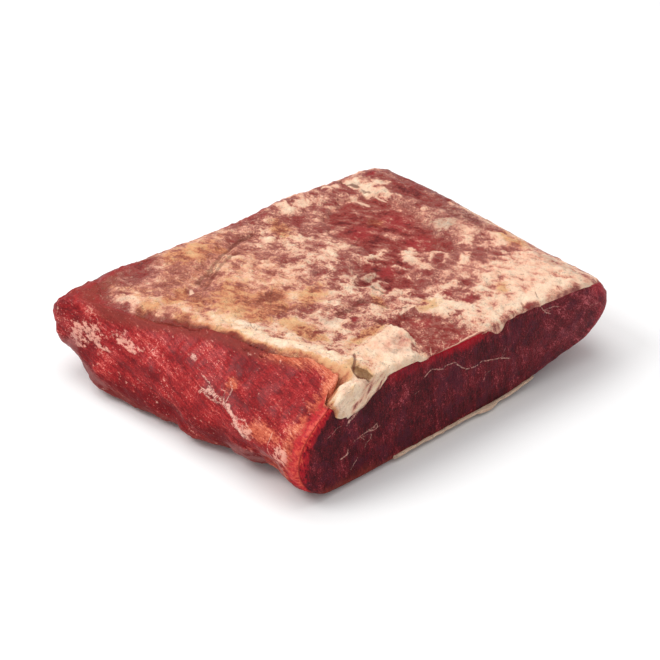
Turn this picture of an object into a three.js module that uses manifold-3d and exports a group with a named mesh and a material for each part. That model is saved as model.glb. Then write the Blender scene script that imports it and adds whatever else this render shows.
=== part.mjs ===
import * as THREE from 'three';
import { mergeVertices } from 'three/addons/utils/BufferGeometryUtils.js';
import Module from 'manifold-3d';

// Beef flank: a thick block of raw beef with fat and silverskin over its top, cut clean across at the near
// side. Millimetres, +Z up. +X runs along the cut face to the right, +Y from the cut face to the back, and
// the origin is under the middle of the block, on the surface that it lies on.
//
// The block is bent from a plain one, whose coordinates are u, from its left face at -1 to its right at 1,
// v, from the cut face at -1 to the back at 1, and w, from the underside at -1 to the top at 1.

const { clamp, lerp, smoothstep } = THREE.MathUtils;
const wasm = await Module();
wasm.setup();

// Half sizes of the plain block, for turning millimetres into its coordinates
const HALF = { u: 100, v: 77, w: 22.5 };

// Plan corners of the block at the underside, at mid height and at the top: x, y
const CORNERS = {
  cutLeft: [[-72.5, -83.5], [-85, -81], [-61, -79.5]],
  cutRight: [[83.5, -78], [107, -81], [89.5, -79]],
  backRight: [[82.5, 65], [105, 82], [95, 77.5]],
  backLeft: [[-99.5, 56], [-109, 78.5], [-104.5, 75]],
};

// How far each side bows out of its straight line, a third and two thirds along, at the same three heights
const BOWS = {
  cut: [[0, 0], [0, 0], [0, 0]],
  right: [[6, 7], [1.5, -0.5], [2.5, 1.5]],
  back: [[0, -1], [2, -1], [2, 0]],
  left: [[-3.5, 15], [-3.5, -2.5], [-22.5, -8]],
};

// Thickness at each corner, and how much of a side's length the corner's own curve takes in plan
const THICKNESS = { cutLeft: 47, cutRight: 46.5, backRight: 45.5, backLeft: 42 };
const CORNER_CURVE = { cutLeft: 0.05, cutRight: 0.1, backRight: 0.11, backLeft: 0.1 };

// Radii of the top and bottom edges of each side
const TOP_EDGE = { cut: 1.5, right: 10, back: 11.5, left: 6.5 };
const BOTTOM_EDGE = { cut: 4.5, right: 20, back: 11.5, left: 9.5 };
// Above 1, how sharply one side's radii give way to the next round a corner
const SIDE_SHARPNESS = 8;

// The underside rises clear of the surface towards the right end of the cut face
const RISE = { height: 5.5, startX: 31, span: 48, cutY: -78.6, reach: 57 };

// Muscle bundles that run along the left face, bending down towards the cut, and lobes (+) and tucks (-)
// along its lower edge
const BUNDLE = { pitch: 13, slope: 0.1, bend: 5, bendY: -5, bendLength: 28, depth: 1.3, top: 38, fade: 9 };
const LOBES = [
  { y: -76, half: 7, out: 2 },
  { y: -63, half: 7, out: -4 },
  { y: -55, half: 8, out: -5 },
  { y: -34, half: 8, out: -2.6 },
  { y: -15, half: 12, out: 2 },
  { y: -3, half: 11, out: -1.5 },
  { y: 25, half: 14, out: 1 },
  { y: 42, half: 16, out: 3.5 },
  { y: 69, half: 14, out: -7 },
];
const LOBE_HEIGHT = { full: 4, gone: 22 };
// Seam between two muscles on the right end, and the swell of the right end and the back
const SEAM = { height: 27, slope: 0.12, depth: 2.2, width: 3.6 };
const SWELL = { depth: 1.1, rightLength: 19, backLength: 23 };

// Relief of the top. Creases and the crack follow lines of x, y points; rolls are the fat's thick borders
const CREASES = [
  { line: [[-51, 42], [-34.6, 48], [-25.2, 53.7], [-9, 57]], depth: 1.5, width: 3.2 },
  { line: [[-70.7, 31.4], [-56.4, 32.2], [-48.6, 35.6], [-39.5, 40.7]], depth: 1.4, width: 3.4 },
  { line: [[-19, -30], [-10, -26.5], [0.8, -26.4], [0.2, -39]], depth: 1.2, width: 3.2 },
  { line: [[66, 52], [65.2, 69]], depth: 3, width: 2.6 },
];
const ROLLS = [
  { line: [[-50, -66], [-55, -41], [-61, -24], [-72, -3]], depth: -1.3, width: 7 },
  { line: [[40, -8], [56, -30], [66, -41]], depth: -0.9, width: 5 },
  { line: [[71, 64], [74, 38], [75, 18]], depth: -1.2, width: 5 },
];
const PADS = [
  { x: 74, y: -12, reachX: 22, reachY: 26, rise: 1.6 },
  { x: 12, y: 28, reachX: 16, reachY: 20, rise: 1.1 },
  { x: -62, y: 52, reachX: 30, reachY: 16, rise: 1 },
  { x: 28, y: 75, reachX: 20, reachY: 14, rise: 4.4 },
  { x: -77, y: 75, reachX: 13.5, reachY: 10, rise: 2.7 },
];
const WAVES = { depth: 0.55, longX: 17, longY: 21, short: 9.5 };

// Flap of fat that lies over the top edge of the cut face: its outline, its step and the step's width
const FLAP = {
  rise: 1.5,
  edge: 2.2,
  outline: [[-58, -68], [-60, -84], [-20, -84], [-7.5, -61], [-11.6, -50], [-30, -55]],
};

// Windows in the fat, where the muscle below lies bare
const WINDOWS = [
  [[25, 30], [33, 46], [49, 53], [68, 46], [72, 20], [62, 0], [60, -20], [46, -15], [30, -22], [20, -38],
    [8, -30], [3, -14], [13, -2], [27, 4]],
  [[-15, -95], [-9, -64], [-3, -50], [9, -50], [16, -64], [24, -95]],
];
const WINDOW_SINK = { depth: 0.9, edge: 5 };
// The fat ends short of the left ridge, in a thick rolled border along this outline's edge
const BARE_LEFT = [
  [-66, -90], [-63, -79], [-60, -74], [-54, -74], [-49, -70], [-48, -60], [-49, -50], [-53, -42],
  [-58, -31], [-61, -21], [-62, -10], [-66, 0], [-71, 9], [-75, 17], [-80, 27], [-87, 38], [-91, 48],
  [-89, 57], [-84, 63], [-82, 90], [-125, 90], [-125, -90],
];

// Thickness of the fat: over the top, in the windows' margins, down the shoulders of the right end and the
// back, along the left border, and where it hangs over or fills a dip in the top edge of the cut face
const FAT = {
  thin: 1.8, margin: 0.9, shoulder: 6, shoulderStart: 0.84, border: 2.2, borderReach: 8, reachBack: 6,
};
const CUT_FAT = [
  { x: -47, half: 15, depth: 7.5 },
  { x: 29, half: 6, depth: 4 },
  { x: 68, half: 26, depth: 1.1 },
];
const GAP = 0.3;

// Strip of pale fat along the lower edge of the cut face, with its two nubs
const LIP = { startX: -33, endX: 54, thin: 0.35, thick: 0.8, ends: 12, highAngle: 12, lowAngle: 36 };
const NUBS = [
  { x: 24, half: 8, out: 1.3 },
  { x: -29, half: 6, out: 0.6 },
];

// Rows of facets along, across and up the muscle, along the lip and round it, and beside the crisp edges
const ROWS = { u: 36, v: 28, w: 12, lip: 26, lipRound: 4 };
const EDGE_ROWS = { left: 2.5, right: 4, cut: 1.4, back: 4, low: 2, high: 2 };
const WINDOW_POINTS = 64;

// Small helpers

const hump = (t) => (Math.abs(t) < 1 ? (1 - t * t) ** 2 : 0);
const bell = (t) => Math.exp(-t * t);

function distanceToLine(line, x, y) {
  let nearest = Infinity;
  for (let i = 1; i < line.length; i += 1) {
    const [ax, ay] = line[i - 1];
    const [bx, by] = line[i];
    const along = ((x - ax) * (bx - ax) + (y - ay) * (by - ay)) / ((bx - ax) ** 2 + (by - ay) ** 2);
    const t = clamp(along, 0, 1);
    nearest = Math.min(nearest, Math.hypot(x - lerp(ax, bx, t), y - lerp(ay, by, t)));
  }
  return nearest;
}

// Distance from a closed outline, positive inside it
function depthInside(outline, x, y) {
  const closed = [...outline, outline[0]];
  let inside = false;
  for (let i = 1; i < closed.length; i += 1) {
    const [ax, ay] = closed[i - 1];
    const [bx, by] = closed[i];
    if (ay > y !== by > y && x < ax + ((y - ay) / (by - ay)) * (bx - ax)) {
      inside = !inside;
    }
  }
  const distance = distanceToLine(closed, x, y);
  return inside ? distance : -distance;
}

// Plan of the block: one bowed curve for each side at each height, and the net between the four

function bowedSide([ax, ay], [bx, by], [near, far], [outX, outY]) {
  const point = (t, bow) => new THREE.Vector2(
    lerp(ax, bx, t) + (outX * bow * 4) / 3,
    lerp(ay, by, t) + (outY * bow * 4) / 3,
  );
  return new THREE.CubicBezierCurve(point(0, 0), point(1 / 3, near), point(2 / 3, far), point(1, 0));
}

const LEVELS = [0, 1, 2].map((level) => {
  const [cutLeft, cutRight] = [CORNERS.cutLeft[level], CORNERS.cutRight[level]];
  const [backLeft, backRight] = [CORNERS.backLeft[level], CORNERS.backRight[level]];
  return {
    cutLeft, cutRight, backLeft, backRight,
    cut: bowedSide(cutLeft, cutRight, BOWS.cut[level], [0, -1]),
    back: bowedSide(backLeft, backRight, BOWS.back[level], [0, 1]),
    left: bowedSide(cutLeft, backLeft, BOWS.left[level], [-1, 0]),
    right: bowedSide(cutRight, backRight, BOWS.right[level], [1, 0]),
  };
});

function planPoint(level, s, t) {
  const cut = level.cut.getPoint(s);
  const back = level.back.getPoint(s);
  const left = level.left.getPoint(t);
  const right = level.right.getPoint(t);
  return [0, 1].map((k) => {
    const axis = k ? 'y' : 'x';
    const ruled = lerp(cut[axis], back[axis], t) + lerp(left[axis], right[axis], s);
    const near = lerp(level.cutLeft[k], level.cutRight[k], s);
    const far = lerp(level.backLeft[k], level.backRight[k], s);
    return ruled - lerp(near, far, t);
  });
}

// Rounds one edge of the block: out and up are distances beyond the faces, negative inside them
function roundEdge(out, up, radius) {
  const x = out + radius;
  const y = up + radius;
  if (x <= 0 || y <= 0) {
    return [out, up];
  }
  const scale = Math.max(x, y) / Math.hypot(x, y);
  return [x * scale - radius, y * scale - radius];
}

// Relief

// Height that one muscle fibre of the left face has at a place along it
const fibreHeight = (y) => BUNDLE.slope * y + BUNDLE.bend * Math.tanh((y - BUNDLE.bendY) / BUNDLE.bendLength);

function leftRelief(y, z) {
  const phase = (z - fibreHeight(y)) / BUNDLE.pitch;
  const bundles = BUNDLE.depth * (Math.abs(Math.sin(Math.PI * phase)) - 0.6);
  const fade = smoothstep(z, 2, 12) * (1 - smoothstep(z, BUNDLE.top - BUNDLE.fade, BUNDLE.top));
  const low = 1 - smoothstep(z, LOBE_HEIGHT.full, LOBE_HEIGHT.gone);
  const lobes = LOBES.reduce((sum, lobe) => sum + lobe.out * hump((y - lobe.y) / lobe.half), 0);
  return bundles * fade * smoothstep(y, -84, -66) + lobes * low;
}

function rightRelief(y, z) {
  const seam = SEAM.depth * bell((z - SEAM.height - SEAM.slope * y) / SEAM.width);
  const swell = SWELL.depth * Math.sin(y / SWELL.rightLength) * Math.sin(z / SWELL.rightLength);
  return (swell - seam) * smoothstep(y, -82, -62);
}

function backRelief(x, z) {
  return SWELL.depth * Math.sin(x / SWELL.backLength + 1) * Math.cos(z / SWELL.backLength);
}

function topRelief(x, y) {
  const long = Math.sin(x / WAVES.longX + 0.6) * Math.cos(y / WAVES.longY);
  const wave = long + 0.5 * Math.sin((x + y) / WAVES.short);
  const lines = [...CREASES, ...ROLLS].reduce(
    (sum, { line, depth, width }) => sum + depth * bell(distanceToLine(line, x, y) / width), 0,
  );
  const pads = PADS.reduce(
    (sum, pad) => sum + pad.rise * bell(Math.hypot((x - pad.x) / pad.reachX, (y - pad.y) / pad.reachY)), 0,
  );
  const flap = FLAP.rise * smoothstep(depthInside(FLAP.outline, x, y), -FLAP.edge / 2, FLAP.edge / 2);
  return WAVES.depth * wave - lines + pads + flap - WINDOW_SINK.depth * bareness(x, y);
}

// 1 well inside a window, 0 outside it
function bareness(x, y) {
  const depth = Math.max(...WINDOWS.map((outline) => depthInside(outline, x, y)));
  return smoothstep(depth, -WINDOW_SINK.edge, WINDOW_SINK.edge);
}

// The block's form

function slab(u, v, w) {
  const m = Math.max(Math.abs(u), Math.abs(v));
  const side = m > 1e-6 ? { x: u / m, y: v / m } : { x: 1, y: 0 };
  const corner = (values) => lerp(
    lerp(values.cutLeft, values.cutRight, (side.x + 1) / 2),
    lerp(values.backLeft, values.backRight, (side.x + 1) / 2),
    (side.y + 1) / 2,
  );
  const curve = corner(CORNER_CURVE);
  const [a, b] = [Math.abs(side.x) - 1 + curve, Math.abs(side.y) - 1 + curve];
  const round = a > 0 && b > 0 ? curve / Math.hypot(a, b) : 1;
  const planX = a > 0 && b > 0 ? Math.sign(side.x) * (1 - curve + a * round) : side.x;
  const planY = a > 0 && b > 0 ? Math.sign(side.y) * (1 - curve + b * round) : side.y;

  const share = {
    cut: Math.max(-side.y, 0) ** SIDE_SHARPNESS,
    back: Math.max(side.y, 0) ** SIDE_SHARPNESS,
    right: Math.max(side.x, 0) ** SIDE_SHARPNESS,
    left: Math.max(-side.x, 0) ** SIDE_SHARPNESS,
  };
  const total = share.cut + share.back + share.right + share.left;
  const mix = (values) => Object.keys(share).reduce((sum, key) => sum + share[key] * values[key], 0) / total;

  const halfWidth = (HALF.u * side.x ** 2 + HALF.v * side.y ** 2) / (side.x ** 2 + side.y ** 2);
  const [outTop, up] = roundEdge((m - 1) * halfWidth, (w - 1) * HALF.w, mix(TOP_EDGE));
  const [out, down] = roundEdge(outTop, -(w + 1) * HALF.w, mix(BOTTOM_EDGE));
  const reach = 1 + out / halfWidth;
  const height = w > 0 ? 1 + up / HALF.w : -1 - down / HALF.w;

  const [s, t] = [(reach * planX + 1) / 2, (reach * planY + 1) / 2];
  const weights = [(height * (height - 1)) / 2, 1 - height ** 2, (height * (height + 1)) / 2];
  const points = LEVELS.map((level) => planPoint(level, s, t));
  const [x, y] = [0, 1].map((k) => points.reduce((sum, point, i) => sum + weights[i] * point[k], 0));
  const thickness = lerp(
    lerp(THICKNESS.cutLeft, THICKNESS.cutRight, s),
    lerp(THICKNESS.backLeft, THICKNESS.backRight, s),
    t,
  );
  const risen = smoothstep(x, RISE.startX, RISE.startX + RISE.span) * bell((y - RISE.cutY) / RISE.reach);
  const z = ((height + 1) / 2) * thickness + (RISE.height * risen * (1 - height)) / 2;

  const skin = smoothstep(m, 0.75, 1) / total;
  const raised = clamp((height + 1) / 2, 0, 1) ** 3;
  return new THREE.Vector3(
    x + skin * (share.right * rightRelief(y, z) - share.left * leftRelief(y, z)),
    y + skin * share.back * backRelief(x, z),
    z + raised * topRelief(x, y),
  );
}

// Thickness of the fat above a place on the block's plan
function fatThickness(u, v) {
  const { x, y } = slab(u, v, 1);
  const m = Math.max(Math.abs(u), Math.abs(v), 1e-6);
  const shoulder = smoothstep(m, FAT.shoulderStart, 1) * (Math.max(u, v, 0) / m) ** SIDE_SHARPNESS;
  const beyond = depthInside(BARE_LEFT, x, y);
  const border = bell(beyond / FAT.borderReach) * (1 - smoothstep(y, 20, 60));
  const overCut = bell(((v + 1) * HALF.v) / FAT.reachBack);
  const atCut = CUT_FAT.reduce((sum, fat) => sum + fat.depth * hump((x - fat.x) / fat.half), 0);
  const whole = FAT.thin + FAT.shoulder * shoulder + FAT.border * border + overCut * atCut;
  return lerp(whole, FAT.margin, Math.max(bareness(x, y), smoothstep(beyond, 0, 3)));
}

// Facets

// Height in block coordinates of the face between muscle and fat
const seamHeight = (u, v) => 1 - fatThickness(u, v) / HALF.w;

// Puts the first and last of evenly spaced rows a set distance from the faces that they run beside
function spacedRow(c, rows, half, first, last) {
  const row = ((c + 1) / 2) * rows;
  const inner = (2 * half - first - last) / (rows - 2);
  const fromStart = row <= 1 ? row * first : first + (row - 1) * inner;
  const distance = row >= rows - 1 ? 2 * half - (rows - row) * last : fromStart;
  return distance / half - 1;
}

const rowU = (c) => spacedRow(c, ROWS.u, HALF.u, EDGE_ROWS.left, EDGE_ROWS.right);
const rowV = (c) => spacedRow(c, ROWS.v, HALF.v, EDGE_ROWS.cut, EDGE_ROWS.back);
const rowW = (c) => spacedRow(c, ROWS.w, HALF.w, EDGE_ROWS.low, EDGE_ROWS.high);

// Moves every point of a closed box that runs from -1 to 1 each way
function bendBox(rowsX, rowsY, rowsZ, place) {
  const box = new THREE.BoxGeometry(2, 2, 2, rowsX, rowsY, rowsZ);
  box.deleteAttribute('normal');
  box.deleteAttribute('uv');
  const geometry = mergeVertices(box, 1e-4);
  const positions = geometry.getAttribute('position');
  for (let i = 0; i < positions.count; i += 1) {
    const point = place(positions.getX(i), positions.getY(i), positions.getZ(i));
    positions.setXYZ(i, point.x, point.y, point.z);
  }
  return geometry;
}

function toSolid(geometry) {
  const plain = geometry.clone();
  plain.deleteAttribute('normal');
  plain.deleteAttribute('uv');
  const merged = mergeVertices(plain, 1e-4);
  const vertProperties = new Float32Array(merged.getAttribute('position').array);
  const triVerts = new Uint32Array(merged.index.array);
  return new wasm.Manifold(new wasm.Mesh({ numProp: 3, vertProperties, triVerts }));
}

function toGeometry(solid) {
  const { vertProperties, triVerts } = solid.getMesh();
  const geometry = new THREE.BufferGeometry();
  geometry.setAttribute('position', new THREE.BufferAttribute(new Float32Array(vertProperties), 3));
  geometry.setIndex(new THREE.BufferAttribute(new Uint32Array(triVerts), 1));
  return geometry;
}

// Pieces

function leanGeometry() {
  return bendBox(ROWS.u, ROWS.v, ROWS.w, (a, b, c) => {
    const [u, v] = [rowU(a), rowV(b)];
    const w = lerp(-1, seamHeight(u, v), (rowW(c) + 1) / 2);
    return slab(u, v, w);
  });
}

function windowPrism(outline) {
  const points = outline.map(([x, y]) => new THREE.Vector3(x, y, 0));
  const loop = new THREE.CatmullRomCurve3(points, true, 'centripetal').getPoints(WINDOW_POINTS);
  const shape = new THREE.Shape(loop.slice(0, -1).map(({ x, y }) => new THREE.Vector2(x, y)));
  return new THREE.ExtrudeGeometry(shape, { depth: 3 * HALF.w, bevelEnabled: false }).translate(0, 0, HALF.w);
}

// The box is turned a quarter, so that its underside is split into triangles as the muscle's top is
function fatCapGeometry() {
  const sheet = bendBox(ROWS.v, ROWS.u, 1, (a, b, c) => {
    const [u, v] = [rowU(-b), rowV(a)];
    return slab(u, v, c > 0 ? 1 : seamHeight(u, v) + GAP / HALF.w);
  });
  const windows = [...WINDOWS, BARE_LEFT].map((outline) => toSolid(windowPrism(outline)));
  return toGeometry(windows.reduce((solid, window) => solid.subtract(window), toSolid(sheet)));
}

// A strip that lies against the rounded lower edge of the cut face, clear of it and of the surface below
function fatLipGeometry() {
  const radius = BOTTOM_EDGE.cut;
  const level = radius / HALF.w - 1;
  const [left, right] = [slab(-1, -1, level).x, slab(1, -1, level).x];
  return bendBox(ROWS.lip, ROWS.lipRound, 1, (a, b, c) => {
    const x = lerp(LIP.startX, LIP.endX, (a + 1) / 2);
    const fromEnds = smoothstep(Math.min(x - LIP.startX, LIP.endX - x), 0, LIP.ends);
    const nubs = NUBS.reduce((sum, nub) => sum + nub.out * hump((x - nub.x) / nub.half), 0);
    const thickness = lerp(LIP.thin, LIP.thick, fromEnds) + nubs;
    const edge = slab((2 * (x - left)) / (right - left) - 1, -1, level);
    const angle = THREE.MathUtils.degToRad(lerp(LIP.highAngle, LIP.lowAngle, (b + 1) / 2));
    const from = radius + GAP + (c > 0 ? 0 : thickness);
    const [y, z] = [edge.y + radius - from * Math.cos(angle), edge.z - from * Math.sin(angle)];
    return new THREE.Vector3(edge.x, y, z);
  });
}

function piece(name, geometry, color, roughness) {
  const mesh = new THREE.Mesh(geometry, new THREE.MeshStandardMaterial({ color, roughness, metalness: 0 }));
  mesh.name = name;
  return mesh;
}

const beefFlank = new THREE.Group();
beefFlank.add(
  piece('lean', leanGeometry(), 0x7a2c30, 0.4),
  piece('fat_cap', fatCapGeometry(), 0xe2b694, 0.5),
  piece('fat_lip', fatLipGeometry(), 0xe6c6b0, 0.5),
);

// The origin is under the middle of the whole block's box
const box = new THREE.Box3().setFromObject(beefFlank);
const middle = box.getCenter(new THREE.Vector3());
for (const mesh of beefFlank.children) {
  mesh.position.set(-middle.x, -middle.y, -box.min.z);
}

export default beefFlank;
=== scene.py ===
"""Dresses the beef flank: its muscle, its cap of fat and silverskin, its fat lip and the stage."""
import itertools
import math

import bmesh
import bpy
import numpy as np
from bpy.props import FloatProperty, FloatVectorProperty, IntProperty, PointerProperty
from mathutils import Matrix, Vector


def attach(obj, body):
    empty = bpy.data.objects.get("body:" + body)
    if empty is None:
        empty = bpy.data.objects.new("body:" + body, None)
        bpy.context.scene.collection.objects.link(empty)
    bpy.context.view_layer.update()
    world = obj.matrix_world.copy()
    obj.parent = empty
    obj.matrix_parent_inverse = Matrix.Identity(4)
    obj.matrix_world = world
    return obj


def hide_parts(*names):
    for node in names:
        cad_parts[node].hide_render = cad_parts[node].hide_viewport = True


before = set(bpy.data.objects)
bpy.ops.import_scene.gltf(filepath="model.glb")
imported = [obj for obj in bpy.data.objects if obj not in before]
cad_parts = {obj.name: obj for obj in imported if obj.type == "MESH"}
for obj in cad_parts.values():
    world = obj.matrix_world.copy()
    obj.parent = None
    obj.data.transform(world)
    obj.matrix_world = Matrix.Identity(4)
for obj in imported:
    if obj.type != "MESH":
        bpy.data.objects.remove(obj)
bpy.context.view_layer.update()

bl_info = {
    "name": "Beef flank",
    "version": (1, 0, 0),
    "blender": (4, 5, 0),
    "location": "3D View > Sidebar > Beef flank",
    "description": "Muscle, fat cap, fat lip and stage for a block of raw beef flank",
    "category": "Object",
}

MM = 0.001

# The block is bent from a plain one with the half sizes below, in millimetres. Its coordinates are u, from
# the left face at -1 to the right at 1, v, from the cut face at -1 to the back at 1, and w, from the
# underside at -1 to the top at 1.
HALF = {"u": 100.0, "v": 77.0, "w": 22.5}
# How near to 1 a block coordinate is on a face
FACE = 0.9999
# Plan corners at the underside, at mid height and at the top: x, y
CORNERS = {
    "cut_left": ((-72.5, -83.5), (-85, -81), (-61, -79.5)),
    "cut_right": ((83.5, -78), (107, -81), (89.5, -79)),
    "back_right": ((82.5, 65), (105, 82), (95, 77.5)),
    "back_left": ((-99.5, 56), (-109, 78.5), (-104.5, 75)),
}
# How far each side bows out of its straight line, a third and two thirds along, at the same three heights
BOWS = {
    "cut": ((0, 0), (0, 0), (0, 0)),
    "right": ((6, 7), (1.5, -0.5), (2.5, 1.5)),
    "back": ((0, -1), (2, -1), (2, 0)),
    "left": ((-3.5, 15), (-3.5, -2.5), (-22.5, -8)),
}
# Height of the block at each corner, and the share of a side that the corner's curve takes in the plan
THICKNESS = {"cut_left": 47, "cut_right": 46.5, "back_right": 45.5, "back_left": 42}
CORNER_CURVE = {"cut_left": 0.05, "cut_right": 0.1, "back_right": 0.11, "back_left": 0.1}
# Radius of the upper and the lower edge along each side, and how sharply one side's values give way to the
# next one's
TOP_EDGE = {"cut": 1.5, "right": 10, "back": 11.5, "left": 6.5}
BOTTOM_EDGE = {"cut": 4.5, "right": 20, "back": 11.5, "left": 9.5}
SIDE_SHARPNESS = 8
# Rise of the underside at the right end of the cut: it starts at one x, takes a span and dies away behind
# the cut
RISE = {"height": 5.5, "start": 31, "span": 48, "cut_y": -78.6, "reach": 57}

# Bundles of fibres on the left face, with the height at which they have faded out, the heights between which
# they fade in above the underside, and the y between which they fade in behind the cut
BUNDLE = {"pitch": 13, "slope": 0.1, "bend": 5, "bend_y": -5, "bend_length": 28, "depth": 1.3, "top": 38,
          "fade": 9, "low": (2, 12), "front": (-84, -66)}
# Lobes along the lower edge of the left face: y, half width and how far out. They fade out between two
# heights.
LOBES = ((-76, 7, 2), (-63, 7, -4), (-55, 8, -5), (-34, 8, -2.6), (-15, 12, 2), (-3, 11, -1.5), (25, 14, 1),
         (42, 16, 3.5), (69, 14, -7))
LOBE_HEIGHT = (4, 22)
# Seam along the right end, and a swell there and on the back. Those of the right end fade in behind the cut,
# between two y.
SEAM = {"height": 27, "slope": 0.12, "depth": 2.2, "width": 3.6}
SWELL = {"depth": 1.1, "right_length": 19, "back_length": 23}
RIGHT_START = (-82, -62)

# Large relief of the top: line of x, y points, depth and width. A negative depth is a raised roll of fat
TOP_LINES = (
    (((-51, 42), (-34.6, 48), (-25.2, 53.7), (-9, 57)), 1.5, 3.2),
    (((-70.7, 31.4), (-56.4, 32.2), (-48.6, 35.6), (-39.5, 40.7)), 1.4, 3.4),
    (((-19, -30), (-10, -26.5), (0.8, -26.4), (0.2, -39)), 1.2, 3.2),
    (((66, 52), (65.2, 69)), 3, 2.6),
    (((-50, -66), (-55, -41), (-61, -24), (-72, -3)), -1.3, 7),
    (((40, -8), (56, -30), (66, -41)), -0.9, 5),
    (((71, 64), (74, 38), (75, 18)), -1.2, 5),
)
# Pads of the top: x, y, reach along x, reach along y, rise
PADS = ((74, -12, 22, 26, 1.6), (12, 28, 16, 20, 1.1), (-62, 52, 30, 16, 1), (28, 75, 20, 14, 4.4),
        (-77, 75, 13.5, 10, 2.7))
# Waves over the whole top, and the flap of fat that lies over the left of the cut's edge
WAVES = {"depth": 0.55, "long_x": 17, "long_y": 21, "short": 9.5}
FLAP = {"rise": 1.5, "edge": 2.2}
FLAP_OUTLINE = ((-58, -68), (-60, -84), (-20, -84), (-7.5, -61), (-11.6, -50), (-30, -55))

# Windows in the fat, where the muscle lies bare, and the outline of the bare left part, where the fat ends
WINDOWS = (
    ((25, 30), (33, 46), (49, 53), (68, 46), (72, 20), (62, 0), (60, -20), (46, -15), (30, -22), (20, -38),
     (8, -30), (3, -14), (13, -2), (27, 4)),
    ((-15, -95), (-9, -64), (-3, -50), (9, -50), (16, -64), (24, -95)),
)
WINDOW_SINK = {"depth": 0.9, "edge": 5}
BARE_LEFT = (
    (-66, -90), (-63, -79), (-60, -74), (-54, -74), (-49, -70), (-48, -60), (-49, -50), (-53, -42),
    (-58, -31), (-61, -21), (-62, -10), (-66, 0), (-71, 9), (-75, 17), (-80, 27), (-87, 38),
    (-91, 48), (-89, 57), (-84, 63), (-82, 90), (-125, 90), (-125, -90),
)
# How far the fat goes beyond that outline, for all but its front end, and the y between which that starts
OVERLAP = {"reach": 2.2, "start": (-75, -60)}
# Width over which the fat thins out there: in front, how much more at the back, and the y between which it
# grows
SOFT_BORDER = {"front": 1.2, "more": 12, "start": (18, 52)}
# Thickness of the fat: its plain part, its bare places, and what the shoulders and the left border add, with
# the places where that starts and ends, and how far behind the cut the fat over its edge reaches
FAT = {"thin": 1.8, "margin": 0.9, "shoulder": 6, "shoulder_start": 0.84, "border": 2.2, "border_reach": 8,
       "border_end": (20, 60), "outside": (0, 3), "reach_back": 6}
# Fat over the top edge of the cut face: x, half width, depth
CUT_FAT = ((-47, 15, 7.5), (29, 6, 4), (68, 26, 1.1))

# Strip of fat along the lower edge of the cut face, between two x and two angles round the edge. It is sunk
# into the muscle and stays clear of the ground. Its nubs: x, half width and how far out.
LIP = {"start": -33, "end": 54, "thin": 0.35, "thick": 0.8, "ends": 12, "high_angle": 12, "low_angle": 36,
       "sunk": 0.4, "clear": 0.2}
NUBS = ((24, 8, 1.3), (-29, 6, 0.6))
# How the fat of the strip looks, on the scales of the top
LIP_LOOK = {"fat": 1.1, "warmth": -0.7, "busy": 0.3}
# Cells of the fat cap through its thickness, and of the fat lip along it, round the edge and through it
FAT_ROWS = 6
LIP_ROWS = (150, 10, 3)

# Patches of the top: x, y, half length, half width, and the turn of the length from +X in degrees
PALE = (
    (-60, 1, 8, 5, 100), (-59, -16, 14, 4, 98), (-54, -38, 15, 5, 105), (-48, -57, 12, 5, 95),
    (-31, -69, 11, 9, 10), (-18, -60, 6, 4, 40), (30, -76, 12, 3, 8), (62, -74, 30, 3.5, 3),
    (20, -54, 10, 6, 115), (68.5, 58, 13, 1.8, 101), (-61, -78, 5, 3.5, 20), (-34, -79, 22, 3, 0),
    (27, -62, 5, 6, 0), (-25, -1, 4, 4, 0), (-25, -31, 4, 4, 0), (-45, -30, 5, 4, 0),
    (-25, -80, 14, 2.5, 0),
)
CREAM = (
    (-60, 2, 9, 6, 100), (-59, -14, 12, 5, 100), (-54, -37, 14, 6, 105), (-47, -54, 12, 7, 95),
    (-59, -79, 5, 4, 20), (-32, -70, 12, 10, 10), (-26, -57, 14, 5.5, 15), (-25, -31, 7, 7, 0),
    (-37, -28, 5, 7, 0), (5, -45, 5, 1.3, 25), (14, -42, 8, 3, 125), (20, -55, 13, 8, 115),
    (30, -72, 14, 7, 10), (3, -10, 7, 4, 20), (35, -41, 5, 3, 0), (56, -30, 5, 3, 30),
    (38, -12, 6, 4.5, 80), (37, -21, 4.5, 3.5, 60), (49, -15, 7, 2.4, 120), (55, -52, 9, 6, 0),
    (68, -58, 24, 14, 0), (58, -70, 36, 9, 0), (86, -60, 22, 7, 90), (44, -66, 12, 7, 20),
    (-74, 30, 6, 4, 130), (-81, 44, 10, 5, 115), (-84, 54, 6, 5, 100), (-64, 13, 9, 6, 110),
    (-22, 33, 6, 3, 0), (-31, 41, 7, 3, 20), (-33, 29, 8, 4, 20), (-12, 15, 8, 5, 60), (-2, 50, 7, 5, 40),
    (5, 40, 5, 7, 0), (16, 19, 6, 5, 0), (5, 14, 4, 7, 0), (56, 68, 5, 3, 0), (28, 63, 13, 4, 0),
    (69, 57, 15, 2.4, 101), (71, 48, 4, 3, 0), (78, 54, 5, 2.5, 0), (45, 51, 5, 3, 0), (72, 2, 6, 4, 0),
    (-36, 62, 9, 5, 0), (57, 48, 6, 2, 110), (-12, -12, 10, 6, 20), (-25, 0, 7, 7, 0), (-22, 14, 9, 6, 30),
    (-34, -43, 8, 7, 0), (67, 38, 6, 0.8, 95), (71.5, 43, 4, 0.8, 70), (76, 37, 2, 1, 60),
    (72, -20, 7, 3, 0), (86, -29, 11, 5, 0), (95, 2, 16, 4, 90), (5, -21, 6, 4, 0), (-63, -80, 3, 3, 0),
    (-45, -20, 7, 5, 0), (-45, -30, 8, 5, 0), (-5, -40, 5, 6, 60), (16, -30, 8, 4, 20), (74, 19, 3, 3, 0),
    (-34, -50, 7, 6, 0), (5, -62, 4, 9, 0), (46, -21, 5, 4, 0), (58, -48, 8, 5, 0), (22, 31, 3, 3, 0),
    (66, 11, 4, 5, 0),
)
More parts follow.
